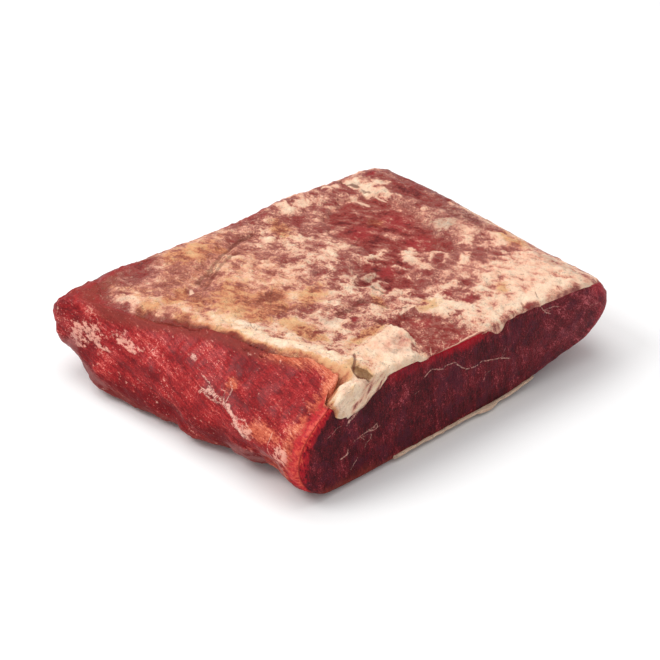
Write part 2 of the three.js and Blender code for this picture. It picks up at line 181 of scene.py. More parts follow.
# Patches of bright red muscle that show through on the top
BLUSH = (
    (38, 24, 9, 7, 20), (22, -13, 6, 5, 0), (33, -55, 6, 4, 30), (81, 66, 5, 2.5, 30),
    (-78, 71, 18, 3.5, 0), (4, -56, 5, 5, 0), (52, -2, 8, 8, 0), (58, 20, 12, 8, 80), (-17, -37, 2, 2, 0),
    (30, -45, 3, 8, 0), (5, -76, 12, 3, 0), (8, 75, 26, 4.5, 4), (10, 66, 3, 2, 0), (-96, 50, 6, 20, 20),
)
# Patches of fat that lie in the windows
ISLANDS = (
    (38, -12, 7, 4, 30), (25, 0, 5, 3, 30), (12, -29, 3.5, 2.5, 20), (12, -11, 3, 2, 0),
    (6, -20, 6, 3.5, 0), (49, -15, 7, 2.2, 120),
)
# Patches of brown-mauve skin, of stained, brown and greyish fat, and of bare red muscle
MAUVE = (
    (-70, 61, 16, 7, 0), (-62, 48, 16, 9, 20), (-20, 64, 7, 5, 0), (-15, 45, 9, 7, 60), (20, 53, 14, 6, 20),
    (8, 69, 14, 5, 0), (-57, 29, 9, 5, 40), (-33, 6, 9, 5, 50), (-28, -15, 9, 5, 30), (-28, -41, 8, 4, 0),
    (-3, 0, 8, 7, 60), (14, 5, 10, 7, 20), (46, 56, 12, 4, 25), (50, 68, 10, 5, 0), (62, 64, 4, 7, 0),
    (82, 34, 24, 9, 90), (95, 48, 24, 5, 90), (86, 0, 12, 4, 90), (65, -31, 15, 7, 0), (72, -40, 9, 5, 0),
    (43, -44, 4, 5, 0), (24, 2, 8, 6, 0), (30, -28, 14, 5, 10), (-45, 36, 9, 3, 20), (-80, 70, 20, 5, 0),
    (57, 62, 8, 7, 0), (-8, -46, 10, 5, 20), (-10, -28, 12, 4, 0), (2, -50, 8, 3, 0), (-20, -24, 4, 3, 60),
    (20, 36, 9, 9, 0), (-36, 50, 7, 3, 20), (-8, 27, 5, 3, 40), (-4, 21, 5, 3, 0), (-36, -10, 5, 4, 0),
    (62, -12, 12, 6, 60), (66, -6, 5, 6, 0), (78, 22, 9, 6, 90), (-75, 65, 12, 7, 0), (-15, 58, 7, 6, 0),
    (5, 60, 6, 4, 0), (-64, -1, 3, 6, 0), (-65, -14, 2.5, 9, 90), (37, -44, 5, 7, 0), (-21, -61, 7, 4, 30),
    (46, 4, 4, 9, 0),
)
OCHRE = (
    (-49, 10, 10, 8, 90), (-46, -5, 6, 6, 0), (-62, 21, 6, 4, 0), (-40, -28, 11, 3.5, 100),
    (-22, -51, 10, 3, 10), (-26, 55, 3, 2, 20), (-66, 33, 6, 3, 0), (-78, 17, 6, 3.5, -10),
    (88, -32, 12, 5, 90), (9, 50, 9, 4, 60), (-20, -8, 8, 5, 30), (-38, 60, 10, 6, 0), (52, -60, 5, 3, 60),
    (-45, 20, 8, 6, 45), (50, 27, 3, 4, 0), (-45, -72, 3, 8, 0), (-84, 34, 5, 3, 0), (2, -30, 3, 4, 0),
    (16, -47, 4, 4, 0),
)
BROWN = ((-34, 3, 5, 8, 80), (-36, -7, 4, 4, 0), (-41, -33, 7, 2.5, 100), (-24, -50, 5, 2, 0))
GREY = (
    (-54, -11, 3, 6, 20), (-69, 21, 2.5, 2, 0), (-88, 44, 5, 8, 0), (72, 3, 8, 7, 0), (-68, 60, 9, 6, 0),
    (-27, -29, 4, 4, 0), (88, -58, 3, 14, 0), (-22, -70, 5, 5, 0), (-15, -64, 5, 3, 0), (10, -12, 10, 8, 0),
    (-6, 8, 4, 3, 0), (86, 0, 16, 5, 90),
)
RED_SPOTS = (
    (-17, -37, 2.2, 1.8, 40), (34, -58, 4, 3, 30), (80, 66, 5, 3, 30), (81, 60, 2.5, 2, 0),
    (46, -22, 4, 2, 20), (43, -45, 2, 3, 0), (-96, 62, 8, 10, 0), (18, -40, 2, 4, 0), (-4, -50, 5, 3, 0),
    (-74, 79, 30, 8, 0), (10, 83, 28, 8, 0), (83, 40, 14, 4, 90), (-60, 68, 8, 3, 0),
)
# Dark streaks and creases of the top, darkened partly as painted shade; some lines are painted shadows beside
# raised fat edges. Each: line of x, y points, half width and strength
STREAKS_AND_SHADOWS = (
    (((-20, -27), (-13, -28), (-5, -25), (0, -30), (2, -37)), 1.4, 0.7),
    (((-11, -43), (-11, -49)), 0.9, 0.8),
    (((2, -42), (6, -44)), 0.6, 0.8),
    (((-52, 37), (-43, 41.5), (-32, 47.5), (-20.5, 53.5), (-10, 57.5), (-4, 57.5)), 1.4, 0.8),
    (((-52.5, 30), (-43, 37), (-35, 41.5), (-26.5, 45), (-21, 45.5)), 1.2, 0.7),
    (((43.5, 75.5), (46, 71)), 0.5, 1),
    (((64.5, 73), (66, 66), (67, 61)), 0.4, 1),
    (((67, 57), (67.5, 52)), 0.4, 0.8),
    (((34.5, 21), (29, 18), (23, 15), (26, 11), (27, 8)), 0.6, 0.7),
    (((-38, -2), (-33, 5), (-30, 8), (-27, 12)), 0.9, 0.5),
    (((57, -77), (59.5, -73)), 0.4, 0.7),
    (((46, -79), (49, -75)), 0.5, 0.8),
    (((-56, -16), (-56, -11), (-54, -7), (-51, -7)), 0.4, 0.6),
    (((7, -20), (9, -26)), 0.8, 0.8),
    # Painted shadow beside the raised right edge of the flap
    (((-11, -50), (-7, -53), (-6, -58), (-6.5, -64), (-9, -68), (-14, -70), (-18, -75), (-20, -79)),
     0.5, 0.5),
    (((-46, -79), (-48, -75), (-48.3, -71.5), (-46.5, -69.5), (-41.5, -65.3), (-38.5, -61)), 0.5, 1),
)
# Olive-brown hollow beside the flap; its colour is partly painted shade
HOLLOW = ((-45.5, -68), (-48.5, -71), (-48.3, -76), (-46, -79.5), (-43, -79), (-42.6, -73), (-43, -69))
# Curtain of fat that hangs from the flap over the cut face. Its threads fan out from a point x, y, where a
# radian counts as a spread in millimetres, and it sags most at a middle x. Below the top edge of the cut face
# its outline's y goes on downwards.
CURTAIN = {"x": -30, "y": -76, "spread": 25, "sag": 2.0, "middle": -50, "reach": 9}
CURTAIN_OUTLINE = ((-49, -73.5), (-53, -75.5), (-57, -74.5), (-61, -75), (-65, -78), (-64.5, -82), (-58, -91),
                   (-48, -92), (-38, -88), (-32, -83), (-38, -80), (-43, -79), (-46, -80), (-49, -77))
# Knob of fat at the curtain's left end, as a patch, and how far it stands up
KNOB = (-60.5, -78, 3.6, 2.8, 20)
KNOB_RISE = 1.0

# White marbling of the cut face: line of x, z points, half width and strength
MARBLING = (
    (((-14.5, 36.5), (-12.5, 38), (-10.5, 38.5), (-6.5, 37), (-3.5, 36), (-2.5, 37), (3, 36.5), (5, 34.5),
      (8, 31.5), (10.5, 30), (13.5, 29.5), (16.5, 29), (19.5, 30.5), (23.5, 29), (27.5, 28), (31.5, 27),
      (37, 24.5)), 0.3, 0.8),
    (((42, 28), (42, 22.5), (42.5, 16.5), (41, 11.5), (40, 6)), 0.25, 0.4),
    (((55, 46), (57.5, 42.5), (60, 39.5), (62.5, 38)), 0.3, 0.8),
    (((60, 41), (65.5, 40.5), (68, 39.5)), 0.3, 0.7),
    (((89.5, 31.5), (93, 31.5), (96, 31)), 0.3, 0.5),
    (((20.5, 19.5), (22, 22.5), (24.5, 23)), 0.25, 0.5),
    (((32.5, 28.5), (34, 31)), 0.25, 0.5),
    (((-69, 30), (-66.5, 31), (-64, 32.5), (-62.5, 32.5)), 0.25, 0.6),
    (((-62.5, 16.5), (-60.5, 16.8), (-59, 17.5), (-58.8, 18.5)), 0.35, 1),
    (((-57.5, 9), (-56, 10.5), (-54, 12.5)), 0.3, 0.7),
    (((-55, 22), (-53, 22.5), (-50.5, 23), (-47.5, 23.5), (-45.5, 24), (-43, 25)), 0.5, 0.6),
    (((-49.5, 16.5), (-48.5, 18), (-46.5, 19), (-46, 21)), 0.3, 0.6),
    (((-47.5, 24), (-44.5, 22.5), (-42, 23)), 0.4, 0.7),
    (((-52, 22.5), (-50, 20.5)), 0.3, 0.6),
    (((-20.5, 30.5), (-18, 31)), 0.3, 0.4),
    (((-33, 18), (-31.5, 20)), 0.3, 0.4),
    (((-50, 39), (-53.5, 35.5), (-55, 34.5), (-57, 33.5), (-58.5, 32)), 0.5, 1),
    (((-48, 38.5), (-51, 36.5)), 0.4, 0.9),
)
# White veins of the left face: line of y, z points, half width and strength
VEINS = (
    (((-27, 34), (-29.5, 32.5), (-30.5, 30.5), (-31, 28.5)), 0.5, 0.6),
    (((-16.5, 27.5), (-20, 29), (-24.5, 28.5), (-28.5, 28.5), (-32, 28), (-35.5, 26.5)), 0.9, 0.8),
    (((-35, 26.8), (-38.5, 25.5), (-41, 24), (-44, 22.5), (-48, 21)), 0.6, 0.9),
    (((-18, 28), (-21, 27), (-25, 26.8), (-29, 27.4)), 0.5, 0.6),
    (((-37.5, 26), (-41.5, 26), (-45.5, 26.5), (-48, 25.5)), 0.5, 0.6),
    (((-1.5, 35.5), (-3.5, 35)), 0.8, 0.8),
    (((-12.5, 32), (-15, 31.5), (-18, 31)), 0.3, 0.6),
    (((-61, 27.5), (-61.5, 23), (-64, 19.5), (-69.5, 17.5)), 0.3, 0.6),
    (((19, 31), (18, 32.5)), 0.5, 0.6),
    (((56.5, 13), (60.5, 6), (53, 5), (46.5, 4), (36, 7.5)), 0.5, 0.4),
)
# Pale threads on the top: line of x, y points, half width and strength
THREADS = (
    (((-14, -81), (-6, -79.2), (4, -78.6), (12, -77.8), (21, -77.4)), 0.45, 0.8),
    (((-11, -80), (-7, -75)), 0.25, 0.7),
    (((-3, -79), (1, -75), (2, -73)), 0.25, 0.6),
    (((8, -78), (9, -74)), 0.25, 0.5),
    (((1, -46.5), (7, -45), (10, -45.3)), 0.6, 1),
    (((67.5, 49), (67.2, 44), (67.6, 40)), 0.5, 0.8),
    (((73, 47), (72.6, 44), (71, 40.5)), 0.5, 0.8),
    (((75.5, 39), (75, 36)), 0.5, 0.7),
    (((56, 53), (57.5, 47), (59, 43)), 0.9, 0.8),
    (((2, -10), (5, -8.5), (9, -6.5)), 0.4, 0.8),
    (((-58, 32), (-56.7, 34)), 0.8, 1),
    (((15, -36), (18, -34)), 0.4, 0.6),
)
# Direction of the fibres under the top, in degrees from +X
TOP_GRAIN = -62
# Lean of the fibres on the cut face, in degrees: at its left, how much more at its right, and the x between
# which it grows
CUT_LEAN = {"left": 8, "more": 34, "start": (20, 85)}
# Sheet of pale fat that lies loose beside the hollow, and how far it stands up
SHEET = ((-38, -90), (-37.5, -76), (-36, -68), (-34.5, -62), (-30, -58), (-25, -56.5), (-20, -55), (-14, -54),
         (-8.5, -52.5), (-6, -54), (-6, -58), (-6.5, -64), (-9, -68), (-14, -70), (-18, -75), (-20, -79),
         (-20, -90))
SHEET_RISE = 0.7
# Relief of the fat: its rise for each step by which it looks thicker than its middle, and the depths of its
# creases and of the hollow
FAT_RELIEF = {"middle": 0.45, "rise": 0.5, "crease": 0.4, "hollow": 0.8}
# How far the bare strip beside the fat stands up
STRIP_RISE = 0.7
# How far the upper back corner of the left face stands out, and where
LEFT_POINT = {"out": 2.2, "x": -107, "y": 76, "reach": 14, "z": 37, "half_height": 6}
# Left edge of the cream fat: x, y points from the cut to the back
CREAM_EDGE = ((-53, -90), (-54, -59), (-57, -45), (-60, -34), (-63, -22), (-64, -8), (-67, 5), (-72, 15),
              (-78, 23), (-83, 30), (-86, 40), (-87, 50), (-87, 60), (-82, 90))
# Patches of the left face: y, z, half length, half width, and the turn of the length from +Y
SIDE_BRIGHT = (
    (17, 34, 18, 5, 8), (20, 28, 14, 4, 8), (39, 18, 9, 5, 10), (-6, 29, 14, 4, 10), (-58, 31, 9, 6, 0),
    (60, 40, 14, 4, 0), (-20, 22, 12, 3, 10), (4, 38, 12, 3, 5), (-68, 22, 12, 12, 0),
)
SIDE_DARK = (
    (-52, 33, 8, 2.5, 0), (-75, 38, 4, 2.5, 0), (-26, 40, 10, 2.5, 8),
    (-30, 14, 26, 5, 4), (58, 16, 12, 8, 20), (4, 14, 22, 5, 0), (26, 10, 14, 4, 0), (72, 33, 4, 8, 0),
    (-10, 21, 12, 1.5, 12), (12, 24, 10, 1.5, 12), (-40, 30, 8, 1.5, 8),
)
SIDE_ORANGE = ((-73, 30, 14, 5, 80), (-66, 12, 9, 7, 0), (-28, 33, 3, 2.5, 0), (-74, 42, 6, 4, 0),
               (-56, 26, 9, 4, 0))
# Pale patches of the left face: pinkish skin, partly painted sheen of the wet fibres
PALE_SHEEN_LEFT = ((55, 29, 10, 3.5, 0), (47, 25, 7, 2, 10), (60, 24, 6, 3, 20), (32, 30, 8, 2, 10),
             (-70, 22, 4, 4, 0), (-47, 23, 5, 2, 0))
MEMBRANE_LEFT = ((-51, 9, 8, 2.5, -10), (-42, 12, 9, 2.5, -4), (50, 9, 14, 4, 0), (66, 16, 8, 8, 20),
                 (-69, 14, 3, 5, 0), (-60, 18, 6, 2.5, 0))

# Zones of the top: the x and the y between which each fades in
ZONES = {
    "tanned": ((5, -25), (-25, 0)), "calm right": ((35, 60), (0, -40)), "right edge": ((76, 86), (0, 14)),
    "right end": ((88, 96), (15, 32)), "back left": ((-55, -65), (50, 60)),
}
# How far the borders of the patches wander, and the share of it that finer things follow
WANDER = {"whole": 1.8, "outlines": 0.3, "lines": 0.15}
# How thick the fat looks in each kind of place, on the scale of TOP_RAMP. The right end's low value is
# painted shade.
LOOK = {
    "plain": 0.42, "mauve": 0.12, "cream": 0.8, "pale": 1.1, "brown": 0.2, "window": -0.08, "island": 0.68,
    "red": -0.15, "right end": 0.02, "left end": -0.05, "sheet": 1.12, "curtain": 0.8, "knob": 1.2,
    "band": 1.2, "strip": -0.12, "strip front": 0.4,
}
# Colours of the top by how thick the fat looks, and of the muscle by its tone
TOP_RAMP = ((-0.45, "bare_dark"), (-0.1, "bare"), (0.18, "mauve"), (0.42, "thin"), (0.62, "fat"),
            (0.88, "cream"), (1.3, "pale"))
SIDE_RAMP = ((-0.26, "side_dark"), (-0.09, "side_deep"), (0.1, "side_red"), (0.28, "side_light"),
             (0.5, "side_pale"))
ORANGE_RAMP = ((-0.15, "orange_dark"), (0.12, "orange"), (0.4, "orange_light"))
CUT_RAMP = ((-0.25, "cut_dark"), (-0.02, "cut_red"), (0.18, "cut_light"), (0.45, "cut_glint_speck"))
# Light that goes into the meat and comes out again
SOFT_FLESH = {"Subsurface Weight": 0.08, "Subsurface Scale": 0.6 * MM}

# The camera looks at a place in millimetres from a distance in millimetres
CAMERA = {"azimuth": -39.5, "elevation": 33.0, "distance": 731.25, "look_at": (-8.90, -8.61, 22.5),
          "lens": 85.0, "sensor": 36, "near": 10}
# Floor and round lamps, with sizes and distances in metres and power in watts, and the strength of the white
# room
FLOOR = {"size": 3.0, "grey": 0.96, "roughness": 0.8}
LAMPS = {
    "key": {"azimuth": -120, "elevation": 50, "distance": 1.1, "size": 0.5, "power": 4.8},
    "overhead": {"azimuth": 160, "elevation": 75, "distance": 1.3, "size": 1.2, "power": 8.5},
}
ROOM_LIGHT = 0.62


class BeefSizes(bpy.types.PropertyGroup):
    """Sizes of the fine surface."""
    cell: FloatProperty(name="Cell", description="Width of a mesh cell", default=1.0 * MM, unit="LENGTH")
    fat_cell: FloatProperty(name="Fat cell", description="Width of a mesh cell of the fat", default=0.9 * MM,
                            unit="LENGTH")
    fibre_relief: FloatProperty(name="Fibre relief", description="Height of the fine fibre bundles",
                                default=0.35 * MM, unit="LENGTH")
    fat_lumps: FloatProperty(name="Fat lumps", description="Height of the small lumps in the fat",
                             default=0.6 * MM, unit="LENGTH")
    seed: IntProperty(name="Seed", description="Seed of the uneven relief and patches", default=7)


def colour_property(name, description, rgb):
    """A colour given in the 0 to 255 steps of a picture."""
    return FloatVectorProperty(name=name, description=description, subtype="COLOR_GAMMA", size=3,
                               min=0, max=1, default=[c / 255 for c in rgb])


class BeefColours(bpy.types.PropertyGroup):
    """Colours of the meat."""
    side_dark: colour_property("Side folds", "Darkest folds of the side faces", (110, 14, 20))
    side_deep: colour_property("Side shade", "Shaded muscle of the side faces", (134, 20, 24))
    side_red: colour_property("Side red", "Muscle of the side faces", (162, 32, 35))
    side_light: colour_property("Side light", "Light strands of the side faces", (192, 62, 58))
    side_pale: colour_property("Side sheen", "Pale thin skin on the side faces", (236, 150, 136))
    glint: colour_property("Glints", "Small bright flecks", (240, 172, 158))
    # The pale patch colour is partly painted sheen
    patch: colour_property("Pale patch", "Pinkish skin in flecks", (240, 174, 154))
    cut_dark: colour_property("Cut shade", "Darkest muscle of the cut face", (56, 4, 14))
    cut_red: colour_property("Cut face", "Muscle of the cut face", (86, 14, 24))
    cut_light: colour_property("Cut fibres", "Light grains of the cut face", (120, 28, 38))
    cut_purple: colour_property("Cut purple", "Purplish cast on the cut face", (80, 24, 42))
    # The cut's bright specks are partly painted glints
    cut_glint_speck: colour_property("Cut specks", "Small bright specks of the cut face", (196, 100, 106))
    cut_rim: colour_property("Cut rim", "Bright rim at the top of the cut face", (170, 14, 33))
    crimson: colour_property("Crimson", "Inner part of the edges where light goes through", (190, 28, 42))
    glow: colour_property("Glow", "Outer part of the edges where light goes through", (226, 90, 70))
    marbling: colour_property("Marbling", "Thin white fat in the muscle", (242, 186, 168))
    dull: colour_property("Dull red", "Brown-red muscle beside the fat", (134, 54, 46))
    membrane: colour_property("Membrane", "Purple-grey silverskin", (158, 108, 104))
    bare_dark: colour_property("Bare shade", "Dark muscle in the windows of the fat", (96, 26, 26))
    bare: colour_property("Bare muscle", "Muscle in the windows of the fat", (152, 58, 52))
    blush: colour_property("Blush", "Bright muscle that shows through", (166, 40, 46))
    orange: colour_property("Orange", "Orange muscle beside the fat and the cut", (216, 112, 80))
    orange_dark: colour_property("Orange shade", "Folds of the orange muscle", (186, 78, 54))
    orange_light: colour_property("Orange light", "Light strands of the orange muscle", (238, 152, 116))
    foot: colour_property("Foot", "Brown-red foot of the cut face", (140, 52, 38))
    mauve: colour_property("Mauve skin", "Brown-mauve silverskin", (156, 89, 79))
    thin: colour_property("Thin fat", "Thin pinkish fat", (206, 134, 116))
    fat: colour_property("Fat", "Fat of middling thickness", (240, 182, 154))
    cream: colour_property("Cream fat", "Thick fat", (252, 208, 178))
    pale: colour_property("Pale fat", "Thickest fat", (255, 225, 196))
    ochre_tint: colour_property("Ochre tint", "Tint of the stained fat", (232, 208, 172))
    grey_tint: colour_property("Grey tint", "Tint of the greyish fat", (214, 214, 216))
    # Brown of streaks and dark specks, and painted shade in the creases and cracks
    streak_and_shade: colour_property("Streak", "Soft brown streaks and creases", (108, 48, 32))
    # The olive-brown of the hollow is partly painted shade
    olive: colour_property("Olive hollow", "Olive-brown hollow beside the flap", (108, 66, 28))


class BeefSettings(bpy.types.PropertyGroup):
    """Everything that the sidebar shows."""
    sizes: PointerProperty(type=BeefSizes)
    colours: PointerProperty(type=BeefColours)


# Numbers


def smooth(low, high, value):
    t = np.clip((value - low) / (high - low), 0, 1)
    return t * t * (3 - 2 * t)


def mix(a, b, t):
    return a + (b - a) * t


def bell(t):
    return np.exp(-t * t)


def hump(t):
    return np.clip(1 - t * t, 0, None) ** 2


def distance_to_line(line, x, y):
    nearest = np.full(np.shape(x), np.inf)
    for (ax, ay), (bx, by) in zip(line, line[1:]):
        t = np.clip(((x - ax) * (bx - ax) + (y - ay) * (by - ay)) / ((bx - ax) ** 2 + (by - ay) ** 2), 0, 1)
        nearest = np.minimum(nearest, np.hypot(x - mix(ax, bx, t), y - mix(ay, by, t)))
    return nearest


def depth_inside(outline, x, y):
    """Distance from a closed outline, positive inside it."""
    closed = [*outline, outline[0]]
    inside = np.zeros(np.shape(x), bool)
    for (ax, ay), (bx, by) in zip(closed, closed[1:]):
        if ay != by:
            inside ^= ((ay > y) != (by > y)) & (x < ax + (y - ay) / (by - ay) * (bx - ax))
    distance = distance_to_line(closed, x, y)
    return np.where(inside, distance, -distance)


def lattice_noise(points, seed):
    """Smooth noise from about -1 to 1, one lattice cell a unit."""
    points = points + 1000.0
    base = np.floor(points).astype(np.int64)
    part = points - base
    ease = part ** 3 * (part * (part * 6 - 15) + 10)
    total = np.zeros(len(points))
    for corner in itertools.product((0, 1), repeat=3):
        cell = base + corner
        code = cell[:, 0] * 374761393 + cell[:, 1] * 668265263 + cell[:, 2] * 1440662683 + seed * 974634777
        code = (code ^ (code >> 13)) * 1274126177 & 0xFFFFFFFF
        code = (code ^ (code >> 15)) * 2246822519 & 0xFFFFFFFF
        code ^= code >> 16
        pull = np.stack([(code >> shift & 1023) / 511.5 - 1 for shift in (0, 10, 20)], 1)
        weight = np.prod(np.where(corner, ease, 1 - ease), 1)
        total += weight * (pull * (part - corner)).sum(1)
    return total


def layered_noise(points, size, seed, layers=3, keep=0.6):
    """Noise in layers, the first with cells of the size, each next one half as wide and rather weaker."""
    return 2 * sum(lattice_noise(points / size * 2 ** k, seed + k) * keep ** k for k in range(layers))


def stack(*columns):
    """Points from columns, of which some may be single numbers."""
    return np.stack(np.broadcast_arrays(*columns), 1).astype(float)


def turned(x, y, degrees):
    """Distances along and across a direction in the plan."""
    c, s = math.cos(math.radians(degrees)), math.sin(math.radians(degrees))
    return x * c + y * s, y * c - x * s


def patch_field(places, x, y):
    """1 at the middle of a patch, 0 at its border and below 0 outside, from the nearest of the patches."""
    field = np.full(np.shape(x), -3.0)
    for px, py, half_length, half_width, turn in places:
        along, across = turned(x - px, y - py, turn)
        field = np.maximum(field, 1 - np.hypot(along / half_length, across / half_width))
    return field


def zone(name, x, y):
    """1 in a zone of the top, 0 outside it."""
    along_x, along_y = ZONES[name]
    return smooth(*along_x, x) * smooth(*along_y, y)


def line_sides(lines, x, y):
    """How far to one side of the nearest line a place is, in half widths, and how strong it is there."""
    nearest = np.full(np.shape(x), np.inf)
    side = np.zeros(np.shape(x))
    share = np.zeros(np.shape(x))
    for line, width, strength in lines:
        for (ax, ay), (bx, by) in zip(line, line[1:]):
            length = math.hypot(bx - ax, by - ay)
            along = ((x - ax) * (bx - ax) + (y - ay) * (by - ay)) / length
            across = ((y - ay) * (bx - ax) - (x - ax) * (by - ay)) / length
            past = along - np.clip(along, 0, length)
            distance = np.hypot(past, across)
            closer = distance < nearest
            nearest = np.where(closer, distance, nearest)
            side = np.where(closer, np.clip(across / width, -9, 9), side)
            near = smooth(2 + 3 * width, 1 + 2 * width, distance) * smooth(2.2, 0, np.abs(past))
            share = np.where(closer, strength * near, share)
    return side, share


# The block's form, in millimetres


def bowed_side(start, end, bows, t, outward):
    """A bowed side as a cubic curve from one corner to the next."""
    start, end, outward = (np.array(p, float) for p in (start, end, outward))
    near = mix(start, end, 1 / 3) + outward * bows[0] * 4 / 3
    far = mix(start, end, 2 / 3) + outward * bows[1] * 4 / 3
    t = t[:, None]
    return (1 - t) ** 3 * start + 3 * (1 - t) ** 2 * t * near + 3 * (1 - t) * t ** 2 * far + t ** 3 * end


def plan_point(level, s, t):
    """The net between the four bowed sides at one of the three heights."""
    corner = {name: np.array(points[level], float) for name, points in CORNERS.items()}
    cut = bowed_side(corner["cut_left"], corner["cut_right"], BOWS["cut"][level], s, (0, -1))
    back = bowed_side(corner["back_left"], corner["back_right"], BOWS["back"][level], s, (0, 1))
    left = bowed_side(corner["cut_left"], corner["back_left"], BOWS["left"][level], t, (-1, 0))
    right = bowed_side(corner["cut_right"], corner["back_right"], BOWS["right"][level], t, (1, 0))
    s, t = s[:, None], t[:, None]
    return mix(cut, back, t) + mix(left, right, s) - at_corners(corner, s, t)


def at_corners(values, s, t):
    """A value between those of the four corners."""
    along_cut = mix(values["cut_left"], values["cut_right"], s)
    return mix(along_cut, mix(values["back_left"], values["back_right"], s), t)


def round_edge(out, up, radius):
    """Rounds one edge of the block: out and up are distances beyond the faces, negative inside them."""
    x, y = out + radius, up + radius
    scale = np.maximum(x, y) / (np.hypot(x, y) + 1e-12)
    rounded = (x > 0) & (y > 0)
    return np.where(rounded, x * scale - radius, out), np.where(rounded, y * scale - radius, up)


def fibre_height(y):
    """Height that one muscle fibre of the left face has at a place along it."""
    return BUNDLE["slope"] * y + BUNDLE["bend"] * np.tanh((y - BUNDLE["bend_y"]) / BUNDLE["bend_length"])


def left_relief(y, z):
    phase = (z - fibre_height(y)) / BUNDLE["pitch"]
    bundles = BUNDLE["depth"] * (np.abs(np.sin(np.pi * phase)) - 0.6)
    fade = smooth(*BUNDLE["low"], z) * (1 - smooth(BUNDLE["top"] - BUNDLE["fade"], BUNDLE["top"], z))
    lobes = sum(out * hump((y - at) / half) for at, half, out in LOBES)
    return bundles * fade * smooth(*BUNDLE["front"], y) + lobes * (1 - smooth(*LOBE_HEIGHT, z))


def right_relief(y, z):
    seam = SEAM["depth"] * bell((z - SEAM["height"] - SEAM["slope"] * y) / SEAM["width"])
    swell = SWELL["depth"] * np.sin(y / SWELL["right_length"]) * np.sin(z / SWELL["right_length"])
    return (swell - seam) * smooth(*RIGHT_START, y)


def back_relief(x, z):
    return SWELL["depth"] * np.sin(x / SWELL["back_length"] + 1) * np.cos(z / SWELL["back_length"])


def bareness(x, y):
    """1 well inside a window, 0 outside it."""
    depth = np.max([depth_inside(outline, x, y) for outline in WINDOWS], 0)
    return smooth(-WINDOW_SINK["edge"], WINDOW_SINK["edge"], depth)


def top_relief(x, y):
    wave = np.sin(x / WAVES["long_x"] + 0.6) * np.cos(y / WAVES["long_y"])
    wave = wave + 0.5 * np.sin((x + y) / WAVES["short"])
    lines = sum(depth * bell(distance_to_line(line, x, y) / width) for line, depth, width in TOP_LINES)
    pads = sum(rise * bell(np.hypot((x - px) / rx, (y - py) / ry)) for px, py, rx, ry, rise in PADS)
    flap = FLAP["rise"] * smooth(-FLAP["edge"] / 2, FLAP["edge"] / 2, depth_inside(FLAP_OUTLINE, x, y))
    return WAVES["depth"] * wave - lines + pads + flap - WINDOW_SINK["depth"] * bareness(x, y)


def side_shares(u, v):
    """How much each side counts at a place, and how near it is to the sides."""
    m = np.maximum(np.maximum(np.abs(u), np.abs(v)), 1e-9)
    x, y = np.where(m > 1e-6, u / m, 1), v / m
    raw = {"cut": -y, "back": y, "right": x, "left": -x}
    raw = {side: np.clip(share, 0, None) ** SIDE_SHARPNESS for side, share in raw.items()}
    total = sum(raw.values())
    return m, {side: share / total for side, share in raw.items()}


def slab(u, v, w):
    """Points of the block, in millimetres."""
    m, share = side_shares(u, v)
    side_x, side_y = np.where(m > 1e-6, u / m, 1), v / m
    curve = at_corners(CORNER_CURVE, (side_x + 1) / 2, (side_y + 1) / 2)
    a, b = np.abs(side_x) - 1 + curve, np.abs(side_y) - 1 + curve
    rounded = (a > 0) & (b > 0)
    ease = curve / np.where(rounded, np.hypot(a, b), 1)
    plan_x = np.where(rounded, np.sign(side_x) * (1 - curve + a * ease), side_x)
    plan_y = np.where(rounded, np.sign(side_y) * (1 - curve + b * ease), side_y)
    radius_top = sum(share[side] * TOP_EDGE[side] for side in share)
    radius_low = sum(share[side] * BOTTOM_EDGE[side] for side in share)
    half_width = (HALF["u"] * side_x ** 2 + HALF["v"] * side_y ** 2) / (side_x ** 2 + side_y ** 2)
    out_top, up = round_edge((m - 1) * half_width, (w - 1) * HALF["w"], radius_top)
    out, down = round_edge(out_top, -(w + 1) * HALF["w"], radius_low)
    reach = 1 + out / half_width
    height = np.where(w > 0, 1 + up / HALF["w"], -1 - down / HALF["w"])
    s, t = (reach * plan_x + 1) / 2, (reach * plan_y + 1) / 2
    weights = (height * (height - 1) / 2, 1 - height ** 2, height * (height + 1) / 2)
    x, y = sum(weight[:, None] * plan_point(level, s, t) for level, weight in enumerate(weights)).T
    rise = RISE["height"] * smooth(RISE["start"], RISE["start"] + RISE["span"], x)
    rise = rise * bell((y - RISE["cut_y"]) / RISE["reach"])
    z = (height + 1) / 2 * at_corners(THICKNESS, s, t) + rise * (1 - height) / 2
    skin = smooth(0.75, 1, m)
    raised = np.clip((height + 1) / 2, 0, 1) ** 3
    return np.stack([
        x + skin * (share["right"] * right_relief(y, z) - share["left"] * left_relief(y, z)),
        y + skin * share["back"] * back_relief(x, z),
        z + raised * top_relief(x, y),
    ], 1)


def fat_thickness(u, v):
    """Thickness of the fat above a place on the block's plan."""
    x, y, _ = slab(u, v, np.ones_like(u)).T
    m, _ = side_shares(u, v)
    shoulder = smooth(FAT["shoulder_start"], 1, m) * (np.maximum(np.maximum(u, v), 0) / m) ** SIDE_SHARPNESS
    beyond = depth_inside(BARE_LEFT, x, y)
    border = bell(beyond / FAT["border_reach"]) * (1 - smooth(*FAT["border_end"], y))
    over_cut = bell((v + 1) * HALF["v"] / FAT["reach_back"])
    at_cut = sum(depth * hump((x - px) / half) for px, half, depth in CUT_FAT)
    whole = FAT["thin"] + FAT["shoulder"] * shoulder + FAT["border"] * border + over_cut * at_cut
    return mix(whole, FAT["margin"], np.maximum(bareness(x, y), smooth(*FAT["outside"], beyond)))


# Meshes


